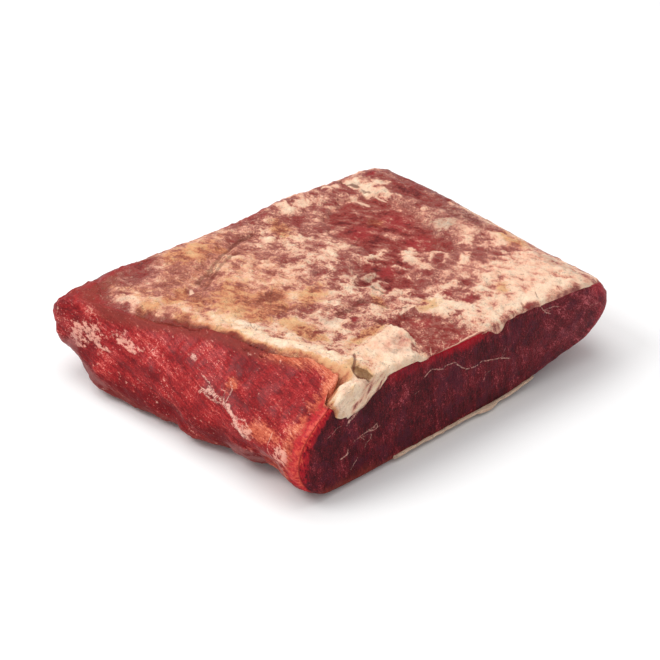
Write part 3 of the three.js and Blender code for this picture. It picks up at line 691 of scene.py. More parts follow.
def block_mesh(name, rows):
    """A cube from -1 to 1 each way, with so many rows along each axis."""
    shape = bmesh.new()
    bmesh.ops.create_cube(shape, size=2)
    for axis, count in enumerate(rows):
        along = [edge for edge in shape.edges if abs(edge.verts[0].co[axis] - edge.verts[1].co[axis]) > 1]
        bmesh.ops.subdivide_edges(shape, edges=along, cuts=count - 1, use_grid_fill=True)
    mesh = bpy.data.meshes.new(name)
    shape.to_mesh(mesh)
    shape.free()
    return mesh


def get_points(mesh):
    points = np.zeros(len(mesh.vertices) * 3)
    mesh.vertices.foreach_get("co", points)
    return points.reshape(-1, 3)


def set_points(mesh, points):
    mesh.vertices.foreach_set("co", points.astype(np.float32).ravel())
    mesh.update()


def get_normals(mesh):
    normals = np.zeros(len(mesh.vertices) * 3, np.float32)
    mesh.vertex_normals.foreach_get("vector", normals)
    return normals.reshape(-1, 3).astype(float)


def store(mesh, name, values):
    """Keeps a value, or a vector, for every point, which the material reads."""
    vector = np.ndim(values) == 2
    layer = mesh.attributes.new(name, "FLOAT_VECTOR" if vector else "FLOAT", "POINT")
    layer.data.foreach_set("vector" if vector else "value", np.asarray(values, np.float32).ravel())


def add_piece(mesh, material, node):
    """Makes a mesh the piece that stands for a solid."""
    mesh.materials.append(material)
    mesh.shade_smooth()
    piece = bpy.data.objects.new(mesh.name, mesh)
    bpy.context.scene.collection.objects.link(piece)
    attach(piece, "root")
    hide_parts(node)


# Materials


class Value:
    """A shader value, on which arithmetic adds Math nodes."""

    def __init__(self, kit, socket):
        self.kit = kit
        self.socket = socket

    def math(self, operation, *others):
        return self.kit.add("ShaderNodeMath", {"operation": operation}, dict(enumerate((self, *others))))

    def __add__(self, other):
        return self.math("ADD", other)

    __radd__ = __add__

    def __mul__(self, other):
        return self.math("MULTIPLY", other)

    __rmul__ = __mul__

    def __sub__(self, other):
        return self.math("SUBTRACT", other)

    def __rsub__(self, other):
        return self.kit.add("ShaderNodeMath", {"operation": "SUBTRACT"}, {0: other, 1: self})

    def __truediv__(self, other):
        return self.math("DIVIDE", other)

    def most(self, other):
        return self.math("MAXIMUM", other)

    def least(self, other):
        return self.math("MINIMUM", other)

    def step(self, low, high):
        """Eases from 0 at low to 1 at high."""
        return self.kit.add("ShaderNodeMapRange", {"interpolation_type": "SMOOTHSTEP"},
                            {"Value": self, "From Min": low, "From Max": high})


class Kit:
    """Adds nodes to one material."""

    def __init__(self, name):
        self.material = bpy.data.materials.new(name)
        self.material.use_nodes = True
        self.tree = self.material.node_tree
        self.tree.nodes.clear()

    def add(self, kind, settings, inputs, output=0):
        node = self.tree.nodes.new(kind)
        for key, setting in settings.items():
            if key == "stops":
                self.set_stops(node.color_ramp.elements, setting)
            else:
                setattr(node, key, setting)
        for key, value in inputs.items():
            if isinstance(value, Value):
                self.tree.links.new(value.socket, node.inputs[key])
            else:
                node.inputs[key].default_value = value
        return Value(self, node.outputs[output])

    def set_stops(self, elements, stops):
        for element in list(elements)[1:]:
            elements.remove(element)
        for index, (position, colour) in enumerate(stops):
            element = elements.new(position) if index else elements[0]
            element.position = position
            element.color = linear(colour)

    def attribute(self, name, output="Fac"):
        return self.add("ShaderNodeAttribute", {"attribute_name": name}, {}, output)

    def spread(self, value, middle):
        """How far a value is from its middle."""
        return (value - middle).math("ABSOLUTE")

    def line(self, name, wobble):
        """The strength of an attribute's lines on them, and 0 beside them. They thin out at their ends."""
        side = self.spread(self.attribute(name + "_side") + wobble, 0)
        strength = self.attribute(name)
        return (strength * 1.6 - side).step(0, 0.8) * strength

    def place(self):
        """Object coordinates, in millimetres."""
        coordinates = self.add("ShaderNodeTexCoord", {}, {}, "Object")
        return self.scaled(coordinates, (1 / MM,) * 3)

    def scaled(self, vector, scale):
        return self.add("ShaderNodeVectorMath", {"operation": "MULTIPLY"}, {0: vector, 1: scale})

    def noise(self, vector, size, detail=3.0, rough=0.55, stretch=(1, 1, 1)):
        """Noise from 0 to 1 whose lumps are about the size given, in the units of the vector."""
        vector = self.scaled(vector, [1 / (size * s) for s in stretch])
        return self.add("ShaderNodeTexNoise", {"normalize": True},
                        {"Vector": vector, "Scale": 1.0, "Detail": detail, "Roughness": rough})

    def mix(self, share, a, b, blend="MIX"):
        """Colour a where the share is 0, b where it is 1. The node's colours are its sockets 6, 7 and 2."""
        settings = {"data_type": "RGBA", "blend_type": blend}
        return self.add("ShaderNodeMix", settings, {0: share, 6: a, 7: b}, 2)

    def paint(self, colour, share, over):
        """The colour, covered by one of the settings' colours where the share is 1."""
        return self.mix(share, colour, linear(over))

    def tint(self, colour, share, by):
        """The colour, multiplied by one of the settings' colours where the share is 1."""
        return self.mix(share, colour, linear(by), "MULTIPLY")

    def ramp(self, value, stops, colours):
        """The named colours at the stops' values, and colours in between them elsewhere."""
        low, high = stops[0][0], stops[-1][0]
        places = [((stop - low) / (high - low), getattr(colours, name)) for stop, name in stops]
        return self.add("ShaderNodeValToRGB", {"stops": places}, {0: (value - low) / (high - low)})

    def bump(self, height, strength, distance):
        return self.add("ShaderNodeBump", {}, {"Height": height, "Strength": strength, "Distance": distance})

    def finish(self, inputs):
        surface = self.add("ShaderNodeBsdfPrincipled", {}, inputs)
        output = self.tree.nodes.new("ShaderNodeOutputMaterial")
        self.tree.links.new(surface.socket, output.inputs["Surface"])
        return self.material


def linear(colour):
    """A picture's colour as the linear light that shaders use."""
    return tuple(c / 12.92 if c <= 0.04045 else ((c + 0.055) / 1.055) ** 2.4 for c in colour) + (1.0,)


def top_skin(kit, colours, place, grain):
    """Colour and fine height of the top, from bare muscle through thin skin to thick fat."""
    fine = kit.noise(grain, 2.0, 5, 0.75, (1.8, 1, 1))
    grit = kit.noise(place, 0.9, 3, 0.7)
    wrinkles = kit.noise(place, 3.2, 4, 0.7)
    crooked = (wrinkles - 0.5) * 2.5
    busy = kit.attribute("busy")
    uneven = ((fine - 0.5) * 2.8 + (grit - 0.5) * 2.0) * busy
    amount = kit.attribute("fat") + uneven.most(uneven * 0.6) + 0.01
    colour = kit.ramp(amount, TOP_RAMP, colours)
    # Stained and greyish fat
    warmth = kit.attribute("warmth") + (wrinkles - 0.5) * 1.6
    colour = kit.tint(colour, warmth.step(0.0, 1.0) * 0.9, colours.ochre_tint)
    colour = kit.tint(colour, (0 - warmth).step(0.0, 0.9) * 0.8, colours.grey_tint)
    # Muscle that shines through thin skin
    blush = (kit.attribute("blush") + (fine - 0.5) * 2).step(0.2, 1.1) * (0.6 - amount).step(0, 0.5)
    colour = kit.paint(colour, blush * 0.6, colours.blush)
    # Hollow beside the flap, creases, cracks and threads. The olive-brown of the hollow and the brown of the
    # creases and cracks are partly painted shade.
    hollow = (kit.attribute("hollow") + (wrinkles - 0.5) * 1.5).step(0.3, 0.8)
    colour = kit.paint(colour, hollow * (0.6 + wrinkles * 0.4), colours.olive)
    colour = kit.paint(colour, kit.line("crease", crooked) * 0.75, colours.streak_and_shade)
    cracks = (1 - kit.spread(wrinkles, 0.5) * 30).step(0, 1) * fine.step(0.5, 0.6)
    colour = kit.paint(colour, cracks * 0.6, colours.streak_and_shade)
    colour = kit.paint(colour, kit.line("thread", crooked) * 0.9, colours.cream)
    # Pale specks, which are painted glints, and dark specks
    colour = kit.paint(colour, grit.step(0.64, 0.72) * fine.step(0.45, 0.6) * 0.5, colours.pale)
    colour = kit.paint(colour, (1 - grit).step(0.6, 0.7) * busy * 0.7, colours.streak_and_shade)
    return colour, amount.most(-0.3).least(1.3) * 0.45 + grit * 0.6 + wrinkles * 0.7 - cracks * 0.2


class MuscleNoise:
    """Noises that the faces of the muscle share, from coarse clouds to fine dots."""

    def __init__(self, kit, place, grain):
        self.clouds = kit.noise(place, 11, 3, 0.5)
        self.strands = kit.noise(grain, 3.2, 3, 0.6, (7, 1, 1))
        self.flecks = kit.noise(grain, 1.8, 3, 0.7, (1.6, 1, 1))
        self.grains = kit.noise(grain, 1.0, 4, 0.7, (2.2, 1, 1))
        self.fibres = kit.noise(grain, 0.9, 3, 0.6, (14, 1, 1))
        self.dots = kit.noise(place, 0.6, 2, 0.6)


def side_skin(kit, colours, noise, tone):
    """Colour of the faces that aren't cut, and how dull they are."""
    grains, strands = noise.grains - 0.5, noise.strands - 0.5
    tone = tone + strands * 0.6 + (noise.fibres - 0.5) * 0.7 + grains * 0.8 + (noise.dots - 0.5) * 0.9
    colour = kit.ramp(tone, SIDE_RAMP, colours)
    dull = (kit.attribute("dull") + strands * 0.8).step(0.15, 0.8)
    colour = kit.paint(colour, dull * 0.8, colours.dull)
    orange = (kit.attribute("orange") + grains * 2 + strands * 2).step(0.25, 1.3)
    colour = kit.mix(orange * 0.85, colour, kit.ramp(tone, ORANGE_RAMP, colours))
    # Pale pinkish patches that are partly painted sheen, then painted glints
    pale_sheen_part = kit.attribute("pale")
    pale = (pale_sheen_part + grains * 1.5 + (noise.flecks - 0.5) * 4.0).step(0.45, 1.2)
    colour = kit.paint(colour, pale * 0.8, colours.patch)
    membrane = (kit.attribute("membrane") + strands * 1.6 + grains).step(0.3, 1.0)
    colour = kit.paint(colour, membrane * 0.5, colours.membrane)
    glints = (noise.dots + grains * 0.3 + pale_sheen_part * 0.12 + (noise.clouds - 0.5) * 0.5).step(0.7, 0.79)
    return kit.paint(colour, glints * (1 - dull * 0.6) * 0.7, colours.glint), dull


def cut_flesh(kit, colours, noise, place, tone):
    """Colour of the cut face, with its bright rim and its brown-red foot."""
    grains, clouds = noise.grains - 0.5, noise.clouds - 0.5
    tone = tone + grains * 0.9 + (noise.dots - 0.5) * 1.0 + (noise.strands - 0.5) * 0.5
    colour = kit.ramp(tone, CUT_RAMP, colours)
    purple = kit.noise(place, 7, 3, 0.6).step(0.5, 0.62)
    colour = kit.paint(colour, purple * 0.5, colours.cut_purple)
    rim = (kit.attribute("rim") + grains * 1.2 + clouds * 0.6).step(0.05, 0.95)
    colour = kit.paint(colour, rim * 0.95, colours.cut_rim)
    foot = (kit.attribute("foot") + grains * 1.2).step(0.2, 1.0)
    colour = kit.paint(colour, foot * 0.8, colours.foot)
    # Bright specks: partly painted glints of the wet cut, partly small flecks of fat
    specks = (noise.dots + clouds * 0.2).step(0.66, 0.74)
    return kit.paint(colour, specks * 0.55, colours.cut_glint_speck)


def muscle_material(colours):
    kit = Kit("raw muscle")
    place = kit.place()
    grain = kit.attribute("grain", "Vector")
    noise = MuscleNoise(kit, place, grain)
    cut_part, skin_part = kit.attribute("cut"), kit.attribute("skin")
    tone = (noise.clouds - 0.5) * 0.7 + kit.attribute("tone")
    side, dull = side_skin(kit, colours, noise, tone)
    colour = kit.mix(cut_part, side, cut_flesh(kit, colours, noise, place, tone))
    # Edges where light goes through
    glow = kit.attribute("glow") * (1 + (noise.grains - 0.5) * 2.5 + (noise.flecks - 0.5) * 3)
    colour = kit.paint(colour, glow.step(0.1, 0.55) * 0.85, colours.crimson)
    colour = kit.paint(colour, glow.step(0.55, 1.05) * 0.8, colours.glow)
    # Marbling of the cut and veins of the left face
    wobble = kit.noise(place, 1.6, 4, 0.65)
    broken = (noise.dots + wobble).step(0.8, 1.15 - (1 - cut_part) * 0.1)
    marbling = kit.line("line", (wobble - 0.5) * 3.5) * broken
    colour = kit.paint(colour, marbling * (1 - cut_part * 0.25), colours.marbling)
    # Skin of the top
    top, top_height = top_skin(kit, colours, place, grain)
    colour = kit.mix(skin_part, colour, top)
    height = noise.grains * 0.5 + noise.fibres * 0.7 + noise.strands * 0.9 + noise.dots * 0.1 + marbling * 0.2
    normal = kit.bump(height + skin_part * (top_height - height), 0.8, 1.1 * MM)
    shine = 0.04 + 0.12 * (1 - dull).least(kit.attribute("gleam"))
    return kit.finish({
        "Base Color": colour, "Roughness": 0.42 + noise.dots * 0.2, "Normal": normal,
        "Coat Weight": shine * (1 - cut_part * 0.8), "Coat Roughness": 0.3, "Specular IOR Level": 0.1,
        "Subsurface Radius": (3.0, 0.8, 0.6), **SOFT_FLESH,
    })


def fat_material(name, colours):
    kit = Kit(name)
    place = kit.place()
    colour, height = top_skin(kit, colours, place, kit.attribute("grain", "Vector"))
    dots = kit.noise(place, 2.2, 2, 0.6)
    return kit.finish({
        "Base Color": colour, "Roughness": 0.38 + dots * 0.25, "Normal": kit.bump(height, 0.8, 1.4 * MM),
        "Coat Weight": 0.1, "Coat Roughness": 0.2, "Specular IOR Level": 0.15,
        "Subsurface Radius": (2.2, 1.2, 0.8), **SOFT_FLESH,
    })


def floor_material():
    kit = Kit("pale floor")
    return kit.finish({"Base Color": linear([FLOOR["grey"]] * 3), "Roughness": FLOOR["roughness"]})


# Pieces


def curtain_turn(x, y):
    """Distances along and across the threads of the curtain, which fan out to the left."""
    away_x, away_y = CURTAIN["x"] - x, CURTAIN["y"] - y
    return np.hypot(away_x, away_y), np.arctan2(away_y, away_x) * CURTAIN["spread"]


class TopLook:
    """How the top looks at the places x, y. The borders of its patches wander and fray."""

    def __init__(self, x, y, seed):
        self.x, self.y = x, y
        along, across = turned(x, y, TOP_GRAIN)
        self.streaks = layered_noise(stack(along / 2.0, across, 0.0), 5, seed, 4, 0.75)
        self.blotches = layered_noise(stack(x, y, 0.0), 8, seed + 10, 4, 0.7)
        self.frayed = 0.4 * self.streaks + 0.2 * self.blotches
        self.far_x = x + WANDER["whole"] * layered_noise(stack(x, y, 3.0), 11, seed + 20, 4)
        self.far_y = y + WANDER["whole"] * layered_noise(stack(x, y, 9.0), 11, seed + 30, 4)
        fan = stack(*curtain_turn(x, y), 0.0) / np.array([6.0, 1.0, 1.0])
        self.threads = layered_noise(fan, 1.8, seed + 40, 3, 0.7)
        # Parts of the open top
        self.tanned = zone("tanned", x, y)
        self.calm = np.maximum(self.tanned, 0.8 * zone("calm right", x, y))
        self.brown = self.share(BROWN, 0.7)
        self.island = self.share(ISLANDS, 0.9, 1.6)
        window = np.max([depth_inside(outline, self.far_x, self.far_y) for outline in WINDOWS], 0)
        self.bare = smooth(-3.5, 3.5, window + 5 * self.frayed) * (1 - self.island)
        # The sheet, the curtain, the knob, the hollow and the left border
        near = self.wandered("outlines")
        self.sheet = smooth(-0.5, 0.5, depth_inside(SHEET, *near))
        self.curtain = smooth(-0.8, 0.8, depth_inside(CURTAIN_OUTLINE, *near))
        self.knob = smooth(-0.3, 0.4, patch_field((KNOB,), *near))
        self.hollow = smooth(-0.6, 1, depth_inside(HOLLOW, *near))
        self.border = (depth_inside(BARE_LEFT, *near) + 1 - overlap(y)) / (1 + 6 * smooth(18, 45, y))

    def wandered(self, what):
        """The places, as far off as the borders of such things wander."""
        return mix(self.x, self.far_x, WANDER[what]), mix(self.y, self.far_y, WANDER[what])

    def share(self, places, soft=0.5, fray=1.0):
        """1 in the patches and 0 outside them."""
        return smooth(-soft, soft, patch_field(places, self.far_x, self.far_y) + fray * self.frayed)

    def open_fat(self):
        """How thick the fat looks, but for the things that lie on it and its left border."""
        x, y = self.x, self.y
        fat = LOOK["plain"] + 0.1 * smooth(0, -50, x)
        fat = mix(fat, LOOK["mauve"] + 0.13 * self.tanned, self.share(MAUVE, 0.7))
        fat = mix(fat, LOOK["cream"] - 0.15 * self.tanned, self.share(CREAM, 0.6))
        fat = mix(fat, LOOK["pale"], self.share(PALE, 0.5, 0.7))
        fat = mix(fat, LOOK["brown"], self.brown)
        fat = mix(fat, LOOK["window"] + 0.08 * smooth(20, 60, x) + 0.14 * smooth(-30, -45, y), self.bare)
        fat = mix(fat, LOOK["island"], self.island)
        fat = mix(fat, LOOK["red"], self.share(RED_SPOTS))
        uneven = (0.32 * self.streaks + 0.22 * self.blotches) * (1 - 0.45 * smooth(0.7, 1.2, fat))
        fat = fat + uneven * (1 - 0.25 * self.calm)
        # Painted shade darkens the right end and the right edge, which turn away from the light; the back
        # left is darker too
        fat = mix(fat, LOOK["right end"] + 0.2 * self.streaks, zone("right end", x, y))
        fat = fat - 0.12 * zone("right edge", x, y) - 0.18 * zone("back left", x, y)
        edge_x, edge_y = zip(*CREAM_EDGE)
        inside = x - np.interp(self.far_y, edge_y, edge_x)
        ended = smooth(3, -5, inside + 4 * self.frayed) * smooth(4, 20, y)
        return mix(fat, LOOK["left end"] + 0.2 * bell((inside + 6) / 4) + 0.15 * self.blotches, ended)

    def fat(self):
        """How thick the fat looks everywhere."""
        x, y = self.x, self.y
        shaded = 0.6 * bell((x + 19) / 8) * bell((y + 65) / 8)
        fat = mix(self.open_fat(), LOOK["sheet"] - shaded + 0.3 * self.blotches, self.sheet)
        fat = mix(fat, LOOK["curtain"] + 0.9 * self.threads, self.curtain)
        fat = mix(fat, LOOK["knob"], self.knob)
        band = smooth(-9.5, -6, self.border + 2 * self.frayed) * smooth(16, -8, y)
        fat = mix(fat, LOOK["band"] + 0.35 * self.streaks, 0.9 * band)
        strip = mix(LOOK["strip"], LOOK["strip front"], smooth(-28, -42, y))
        return mix(fat, strip, smooth(-0.8, 1.0, self.border) * (1 - self.curtain))

    def warmth(self):
        """How warm the colour of the fat is. Below 0 it is greyish."""
        warmth = self.share(OCHRE, 0.8) + 0.25 * smooth(30, -50, self.x) + 0.2 * self.tanned
        warmth = warmth - 0.9 * self.share(GREY, 0.8) + self.brown
        warmth = warmth + 1.2 * smooth(-1.5, 0.5, self.border) * smooth(24, 12, self.y)
        return mix(warmth, 0.5 * self.threads, self.curtain)

    def busy(self):
        """How strong the finest unevenness of the colour is."""
        busy = 0.9 - 0.35 * self.calm - 0.25 * smooth(-10, 30, self.x)
        busy = mix(mix(busy, 0.3, self.sheet), 0.45, self.curtain)
        return busy * (1 - 0.6 * bell(self.border / 3) * smooth(24, 12, self.y))

    def fields(self):
        """All that the meshes and the materials take from here, by name."""
        fields = {name: getattr(self, name) for name in ("bare", "sheet", "curtain", "knob", "hollow")}
        fields.update(fat=self.fat(), warmth=self.warmth(), busy=self.busy(), blush=self.share(BLUSH, 0.6))
        for name, lines in {"crease": STREAKS_AND_SHADOWS, "thread": THREADS}.items():
            fields[name + "_side"], fields[name] = line_sides(lines, *self.wandered("lines"))
        return fields


# The fields that the material of the top reads
SKIN_FIELDS = ("fat", "warmth", "blush", "busy", "hollow", "crease_side", "crease", "thread_side", "thread")


def groove(side, share):
    """Depth of a crease from 0 to 1."""
    return share * bell(side / 1.2)


def overlap(y):
    """How far the fat goes beyond the outline of the bare left side."""
    return OVERLAP["reach"] * smooth(*OVERLAP["start"], y)


def soft_border(y):
    """Width over which the fat thins out at its left border."""
    return SOFT_BORDER["front"] + SOFT_BORDER["more"] * smooth(*SOFT_BORDER["start"], y)


def muscle_grain(points, from_left, on_cut, on_skin):
    """Coordinates along and across the fibres, in millimetres, for each face."""
    x, y, z = points.T
    along_side = stack(y + BUNDLE["slope"] * z, z + from_left - fibre_height(y), x)
    tilt = np.radians(CUT_LEAN["left"] + CUT_LEAN["more"] * smooth(*CUT_LEAN["start"], x))
    along_cut = stack(z * np.cos(tilt) - x * np.sin(tilt), x * np.cos(tilt) + z * np.sin(tilt), y)
    along_top = stack(*turned(x, y, TOP_GRAIN), z)
    return mix(mix(along_side, along_top, on_skin[:, None]), along_cut, on_cut[:, None])


class BEEF_OT_lean(bpy.types.Operator):
    """Make the muscle."""
    bl_idname = "object.beef_lean"
    bl_label = "Muscle"

    def execute(self, context):
        sizes, colours = context.scene.beef_flank.sizes, context.scene.beef_flank.colours
        cell = sizes.cell / MM
        mesh = block_mesh("lean_muscle", [round(2 * HALF[axis] / cell) for axis in "uvw"])
        u, v, level = get_points(mesh).T
        points = slab(u, v, mix(-1, 1 - fat_thickness(u, v) / HALF["w"], (level + 1) / 2))
        set_points(mesh, points)
        normals = get_normals(mesh)
        x, y, z = points.T
        on_cut = (v < -FACE) * 1.0
        on_top = (level > FACE) * (1 - on_cut)
        beyond = depth_inside(BARE_LEFT, x, y)
        grain = muscle_grain(points, (u + 1) * HALF["u"], on_cut, on_top * smooth(1, -1, beyond))
        strands = layered_noise(grain / np.array([4.0, 1.0, 1.0]), 4.2, sizes.seed + 60, 3)
        lumps = layered_noise(points, 4, sizes.seed + 70, 2)
        swells = layered_noise(points, 12, sizes.seed + 80)
        relief = sizes.fibre_relief / MM * (strands * 0.8 + lumps * 0.9 + swells * 0.8)
        # The relief is low on the cut face and stops at its edges and at the ground
        calm = mix(smooth(0, 3, (v + 1) * HALF["v"]), 0.35 * smooth(0, 4, z), on_cut) * smooth(0.2, 2.5, z)
        vein_side, vein = line_sides(VEINS, y, z)
        vein = vein * (u < -FACE)
        moved = points + normals * (relief * calm + 0.2 * groove(vein_side, vein))[:, None]
        corner = bell(np.hypot(x - LEFT_POINT["x"], y - LEFT_POINT["y"]) / LEFT_POINT["reach"])
        moved[:, 0] -= LEFT_POINT["out"] * corner * bell((z - LEFT_POINT["z"]) / LEFT_POINT["half_height"])
        moved[:, 2] += STRIP_RISE * on_top * smooth(1, 4, beyond) * smooth(24, 4, y)
        set_points(mesh, moved * MM)
        cut_side, cut_line = line_sides(MARBLING, x, z)
        store(mesh, "line_side", np.where(on_cut, cut_side, vein_side))
        store(mesh, "line", np.where(on_cut, cut_line, vein))
        store(mesh, "grain", grain)
        masks = self.masks(u, v, points, on_cut, on_top, beyond, strands * 0.5 + lumps * 0.4)
        fields = TopLook(x, y, sizes.seed).fields()
        masks.update((name, fields[name]) for name in SKIN_FIELDS)
        for name, values in masks.items():
            store(mesh, name, values)
        add_piece(mesh, muscle_material(colours), "lean")
        return {"FINISHED"}

    def masks(self, u, v, points, on_cut, on_top, beyond, hollows):
        """Where each look of the muscle shows."""
        x, y, z = points.T
        side = 1 - on_top - on_cut
        edge = at_corners(THICKNESS, (u + 1) / 2, 0) - z
        from_left, from_right, from_cut = (1 + u) * HALF["u"], (1 - u) * HALF["u"], (1 + v) * HALF["v"]
        near_left = np.maximum((u < -FACE) * (1 - on_cut), on_top * smooth(-1, 1, beyond))
        below = np.maximum(at_corners(THICKNESS, (u + 1) / 2, (v + 1) / 2) - z - 1, 0) * side
        from_fat = beyond + below
        flow = 0.5 * hollows
        # Bright rim along the cut's edges; at the right end it is partly painted light shining through the
        # edge
        band = smooth(9.5, 1.5, edge + 1.5 * flow) * smooth(-44, -30, x) * smooth(36, 18, x)
        band = band * (0.55 + 0.45 * bell((x - 10) / 14))
        rim = np.max([band, 0.5 * bell(edge / 1.8), 0.6 * bell(from_right / 12)], 0)
        # Light through the edge between the cut and the left face
        glow_cut = 0.75 * bell(from_left / 5.5) * smooth(3, 26, z)
        glow_side = 0.95 * side * bell(from_cut / 6) * smooth(2, 14, z)
        glow = np.where(on_cut > 0, glow_cut, glow_side) * smooth(30, -30, x)
        # Orange strip along the fat, near the cut
        orange = 1.5 * near_left * smooth(14, 3, from_fat) * smooth(-24, -38, y) * smooth(-80, -73, y)

        def share(places):
            return smooth(-0.6, 0.6, patch_field(places, y, z + from_left) + flow) * near_left

        # Painted shade: the tone follows the relief, darker in its hollows and lighter on its rises
        tone = 0.1 * hollows + 0.1 * share(SIDE_BRIGHT) - 0.16 * share(SIDE_DARK)
        # The side faces get darker towards the bottom, and the cut towards its left
        tone = tone - 0.16 * smooth(22, 4, z) * side - on_cut * 0.05 * smooth(10, -60, x)
        tone = tone + on_cut * 0.16 * smooth(30, 95, x) + 0.12 * orange
        dull_left = near_left * bell((from_fat - 4) / 8) * smooth(95, 60, y) * smooth(-70, -45, y)
        # The left half of the side faces gets browner towards the bottom
        dull_low = 0.6 * side * smooth(14, 4, z) * (u < 0)
        foot = np.max([bell(z / 7) * smooth(-30, -50, x), bell(z / 4.5) * smooth(30, 0, x),
                       bell((z - 4) / 6) * smooth(70, 90, x)], 0)
        reach = overlap(y)
        return {
            "cut": on_cut, "rim": rim * on_cut, "foot": foot * on_cut, "glow": glow, "tone": tone,
            "skin": on_top * smooth(reach + 1.4 * soft_border(y), reach, beyond),
            "orange": np.maximum(0.95 * share(SIDE_ORANGE), orange), "dull": np.maximum(dull_left, dull_low),
            "pale": share(PALE_SHEEN_LEFT), "membrane": share(MEMBRANE_LEFT),
            "gleam": near_left * smooth(10, 24, z),
        }


class BEEF_OT_fat_cap(bpy.types.Operator):
    """Make the cap of fat and silverskin."""
    bl_idname = "object.beef_fat_cap"
    bl_label = "Fat cap"

    def execute(self, context):
        sizes, colours = context.scene.beef_flank.sizes, context.scene.beef_flank.colours
        cell = sizes.fat_cell / MM
        rows = [round(2 * HALF[axis] / cell) for axis in "uv"]
        mesh = block_mesh("fat_and_silverskin", [*rows, FAT_ROWS])
        u, v, level = get_points(mesh).T
        share = (level + 1) / 2
        seam = 1 - fat_thickness(u, v) / HALF["w"]
        muscle_top = slab(u, v, seam)
        x, y, _ = slab(u, v, np.ones_like(u)).T
        thick = (1 - seam) * HALF["w"]
        on_front = (v < -FACE) * 1.0
        fall = (1 - share) * thick
        drop = on_front * fall
        body = slab(u, v, mix(seam, 1, share))
        # The walls take their look from a place as far out as they reach down, the front one from its own x
        at_edge = (u < -FACE) | (v < -FACE)
        field_x = np.where(at_edge, body[:, 0], x) + fall * (u > FACE)
        fields = TopLook(field_x, y - drop + fall * (v > FACE), sizes.seed).fields()
        frayed = layered_noise(stack(x, y, 2.0), 5, sizes.seed + 90, 3)
        soft = soft_border(y)
        cover = smooth(-soft, soft, overlap(y) + 0.4 * frayed - depth_inside(BARE_LEFT, x, y))
        cover = np.maximum(np.minimum(1 - 0.999 * fields["bare"], cover), fields["curtain"])
        lumps = layered_noise(stack(x, y, 4.0), 4.5, sizes.seed + 100, 3)
        height = FAT_RELIEF["rise"] * (fields["fat"] - FAT_RELIEF["middle"])
        height = height - FAT_RELIEF["crease"] * groove(fields["crease_side"], fields["crease"])
        height = height - FAT_RELIEF["hollow"] * fields["hollow"] + sizes.fat_lumps / MM * lumps
        height = height + SHEET_RISE * fields["sheet"] + KNOB_RISE * fields["knob"]
        body[:, 2] += height * share
        # Where the fat ends it dips below the muscle's surface
        below = muscle_top - np.array([0, 0, 1.1]) * (1.2 - 0.4 * share)[:, None]
        points = mix(below, body, (cover * smooth(0, 0.3, share))[:, None])
        # The front bulges a little, and the curtain hangs from it with a ragged hem
        bulge = np.sin(np.pi * 0.85 * share) * np.clip(thick * 0.1, 0.25, 0.5) * cover
        fringe = on_front * fields["curtain"] * (1 - share) ** 2
        points[:, 1] -= on_front * (bulge - 0.3 * (share < 0.01)) + 0.6 * fringe
        ragged = 0.2 + 0.9 * layered_noise(stack(x, 0.0, 6.0), 2.5, sizes.seed + 110, 2)
        sag = CURTAIN["sag"] * bell((field_x - CURTAIN["middle"]) / CURTAIN["reach"])
        points[:, 2] -= fringe * (np.clip(ragged, 0, 1.5) + sag)
        set_points(mesh, points * MM)
        for name in SKIN_FIELDS:
            store(mesh, name, fields[name])
        plain = stack(*turned(x, y, TOP_GRAIN), points[:, 2])
        threads = stack(*curtain_turn(x, y - drop), 0.0) / np.array([4.0, 0.45, 1.0])
        store(mesh, "grain", mix(plain, threads, fields["curtain"][:, None]))
        add_piece(mesh, fat_material("fat and silverskin", colours), "fat_cap")
        return {"FINISHED"}


class BEEF_OT_fat_lip(bpy.types.Operator):
    """Make the strip of fat along the lower edge of the cut face."""
    bl_idname = "object.beef_fat_lip"
    bl_label = "Fat lip"

    def execute(self, context):
        sizes, colours = context.scene.beef_flank.sizes, context.scene.beef_flank.colours
        mesh = block_mesh("fat_lip_strip", LIP_ROWS)
        a, b, c = get_points(mesh).T
        x = mix(LIP["start"], LIP["end"], (a + 1) / 2)
        radius = BOTTOM_EDGE["cut"]
        level = radius / HALF["w"] - 1
        left, right = slab(np.array([-1.0, 1.0]), np.array([-1.0, -1.0]), np.array([level, level]))[:, 0]
        edge = slab(2 * (x - left) / (right - left) - 1, np.full_like(x, -1), np.full_like(x, level))
        from_ends = smooth(0, LIP["ends"], np.minimum(x - LIP["start"], LIP["end"] - x))
        nubs = sum(out * hump((x - at) / half) for at, half, out in NUBS)
        wavy = 0.35 * layered_noise(stack(x, 0.0, 0.0), 6, sizes.seed + 70)
        thickness = mix(LIP["thin"], LIP["thick"], from_ends) + nubs + wavy
        angle = np.radians(mix(LIP["high_angle"], LIP["low_angle"], (b + 1) / 2) + 6 * wavy * (b < 0))
        crown = np.sqrt(np.clip(1 - (b * 0.9) ** 2, 0, 1))
        far = radius - LIP["sunk"] + (0.7 + thickness * mix(0.4, 1, crown)) * (1 - c) / 2
        z = np.maximum(edge[:, 2] - far * np.sin(angle), LIP["clear"])
        points = stack(edge[:, 0], edge[:, 1] + radius - far * np.cos(angle), z)
        set_points(mesh, points * MM)
        for name in SKIN_FIELDS:
            store(mesh, name, np.full(len(x), LIP_LOOK.get(name, 0.0)))
        store(mesh, "grain", points)
        add_piece(mesh, fat_material("fat lip", colours), "fat_lip")
        return {"FINISHED"}


def toward(azimuth, elevation):
    """The direction from the object towards a viewer or a light."""
    a, e = math.radians(azimuth), math.radians(elevation)
    return Vector((math.sin(a) * math.cos(e), -math.cos(a) * math.cos(e), math.sin(e)))


